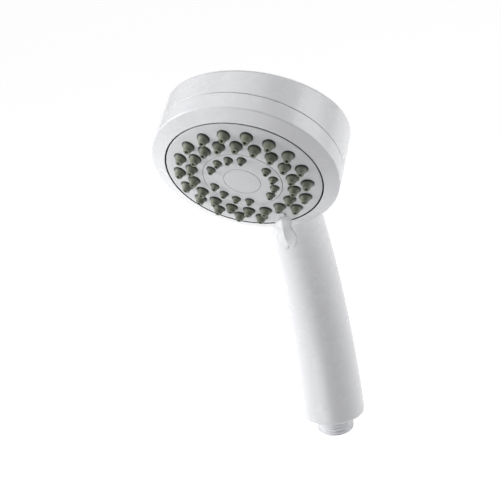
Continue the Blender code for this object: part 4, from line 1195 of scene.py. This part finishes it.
@dataclass
class Studio:
    """Pale floor with a painted glow behind the object, soft lamps on both sides, above and in front,
    and the camera.
    """

    axes: Axes
    floor_level: float = -0.9
    floor_half: float = 16.0
    camera_offset: Triple = (0.2687, -0.6547, 0.2090)
    camera_right: Triple = (0.9326, 0.3361, -0.1316)
    camera_up: Triple = (0.0035, 0.3558, 0.9344)
    lens: float = 107.9
    aim: Triple = (0.0, 0.03, -0.06)
    room: float = 0.42
    bright_side: Triple = (-0.42, 0.90, -0.10)
    dim_to_bright: Pair = (-0.5, 0.75)
    backdrop: float = 1.0
    glow: float = 0.95
    glow_from_to: Pair = (-0.6, 1.2)
    lamps: tuple[tuple[str, Triple, Pair, float], ...] = (
        ("key_lamp", (-1.25, -0.50, 0.30), (1.1, 1.2), 19.0),
        ("fill_lamp", (1.15, 0.42, 0.25), (0.9, 1.2), 8.6),
        ("top_lamp", (-0.10, -0.10, 1.45), (1.4, 1.4), 12.0),
        ("front_lamp", (-0.40, -1.25, -0.55), (1.0, 1.0), 6.2),
    )

    def build(self) -> None:
        """Makes the floor, the room's light, the lamps and the camera."""
        self.lay_floor()
        self.light_room()
        for lamp in self.lamps:
            self.hang(*lamp)
        self.set_camera()

    def lay_floor(self) -> None:
        """A wide pale floor with faint clouding and a painted glow behind the object, well below the
        object.
        """
        half, level = self.floor_half, self.floor_level
        spots = (-half, -half), (half, -half), (half, half), (-half, half)
        corners = [(x, y, level) for x, y in spots]
        mesh = bpy.data.meshes.new("floor")
        mesh.from_pydata(corners, [], [(0, 1, 2, 3)])
        floor = new_object("floor", mesh)
        paint = Finish("pale_floor", "", (0.93, 0.93, 0.93), (0.92, 0.92, 0.92), 0.8, cloud_size=400.0)
        material = paint.material()
        self.paint_floor_glow(material)
        floor.data.materials.append(material)

    def paint_floor_glow(self, material: bpy.types.Material) -> None:
        """Painted light: the floor glows with no lamp on it where it lies behind the object, in place
        of a lit sweep, and the glow also lights the object.
        """
        nodes, links = material.node_tree.nodes, material.node_tree.links
        split = nodes.new("ShaderNodeSeparateXYZ")
        links.new(nodes["Texture Coordinate"].outputs["Object"], split.inputs["Vector"])
        share = self.ramp(material.node_tree, split.outputs["Y"], self.glow_from_to, (0.0, self.glow))
        shader = nodes["Principled BSDF"].inputs
        # painted light: white emission on the floor, rising from none in front to full glow behind the
        # object
        shader["Emission Color"].default_value = (1, 1, 1, 1)
        links.new(share, shader["Emission Strength"])

    def light_room(self) -> None:
        """A white room that dims towards the front, where the camera stands."""
        world = bpy.data.worlds.new("room")
        bpy.context.scene.world = world
        world.use_nodes = True
        nodes, links = world.node_tree.nodes, world.node_tree.links
        place = nodes.new("ShaderNodeTexCoord").outputs["Generated"]
        facing = nodes.new("ShaderNodeVectorMath")
        facing.operation = "DOT_PRODUCT"
        facing.inputs[1].default_value = self.bright_side
        links.new(place, facing.inputs[0])
        share = self.ramp(world.node_tree, facing.outputs["Value"], self.dim_to_bright,
                          (self.room, self.backdrop))
        links.new(share, nodes["Background"].inputs["Strength"])

    @staticmethod
    def ramp(tree: bpy.types.NodeTree, source: Socket, ends: Pair,
             results: Pair) -> Socket:
        """A smooth rise, 3t^2 - 2t^3, from one result to the other.

        Args:
            tree: the nodes to add it to.
            source: the value that it follows.
            ends: values of source where the rise starts and stops.
            results: results at those ends.
        Returns:
            The result.
        """
        node = tree.nodes.new("ShaderNodeMapRange")
        node.interpolation_type = "SMOOTHSTEP"
        tree.links.new(source, node.inputs["Value"])
        for socket, number in zip(RANGE_SOCKETS, (*ends, *results)):
            node.inputs[socket].default_value = number
        return node.outputs["Result"]

    def hang(self, name: str, offset: Triple, size: Pair,
             power: float) -> None:
        """Hangs a rectangular lamp at an offset from the face's centre, aimed at the object.

        Args:
            name: the lamp's name.
            offset: place from the face's centre, in metres.
            size: width and height in metres.
            power: watts.
        """
        lamp = bpy.data.lights.new(name, "AREA")
        lamp.shape, lamp.size, lamp.size_y, lamp.energy = "RECTANGLE", size[0], size[1], power
        back = np.subtract(offset, self.aim) / np.linalg.norm(np.subtract(offset, self.aim))
        right = np.cross((0.0, 0.0, 1.0), back)
        right /= np.linalg.norm(right)
        self.stand(new_object(name, lamp), offset, right, np.cross(back, right))

    def stand(self, thing: bpy.types.Object, offset: Triple,
              right: np.ndarray, up: np.ndarray) -> None:
        """Puts a lamp or camera at an offset from the face's centre, with the given unit axes."""
        turn = np.stack([right, up, np.cross(right, up)], axis=1)
        centre = self.axes.origin + np.array(offset)
        thing.matrix_world = Matrix.Translation(centre.tolist()) @ Matrix(turn.tolist()).to_4x4()

    def set_camera(self) -> None:
        """Stands the camera to the right of the handset, a little above it and slightly tipped."""
        lens = bpy.data.cameras.new("camera")
        lens.lens = self.lens
        camera = new_object("camera", lens)
        right = np.array(self.camera_right) / np.linalg.norm(self.camera_right)
        up = np.array(self.camera_up) - right * (right @ np.array(self.camera_up))
        up /= np.linalg.norm(up)
        self.stand(camera, self.camera_offset, right, up)
        bpy.context.scene.camera = camera
        bpy.context.scene.view_settings.view_transform = "Standard"


def main() -> None:
    """Builds every sub-assembly in order, then the studio."""
    logging.basicConfig(level=logging.INFO, format="%(name)s %(message)s")
    head = head_axes()
    rotor = head.turned(LEVER_ANGLE)
    HandsetShell(head).build()
    FaceBezel(head).build()
    outer = Nozzle(radius=3.1, tip=1.65, rise=3.7)
    inner = Nozzle(radius=2.2, tip=1.25, rise=2.5)
    SprayFace(rotor, Dome(), outer, inner).build()
    LeafLever(rotor).build()
    HoseSpigot().build()
    InnerWorks().dress()
    Studio(head).build()


if __name__ == "__main__":
    main()
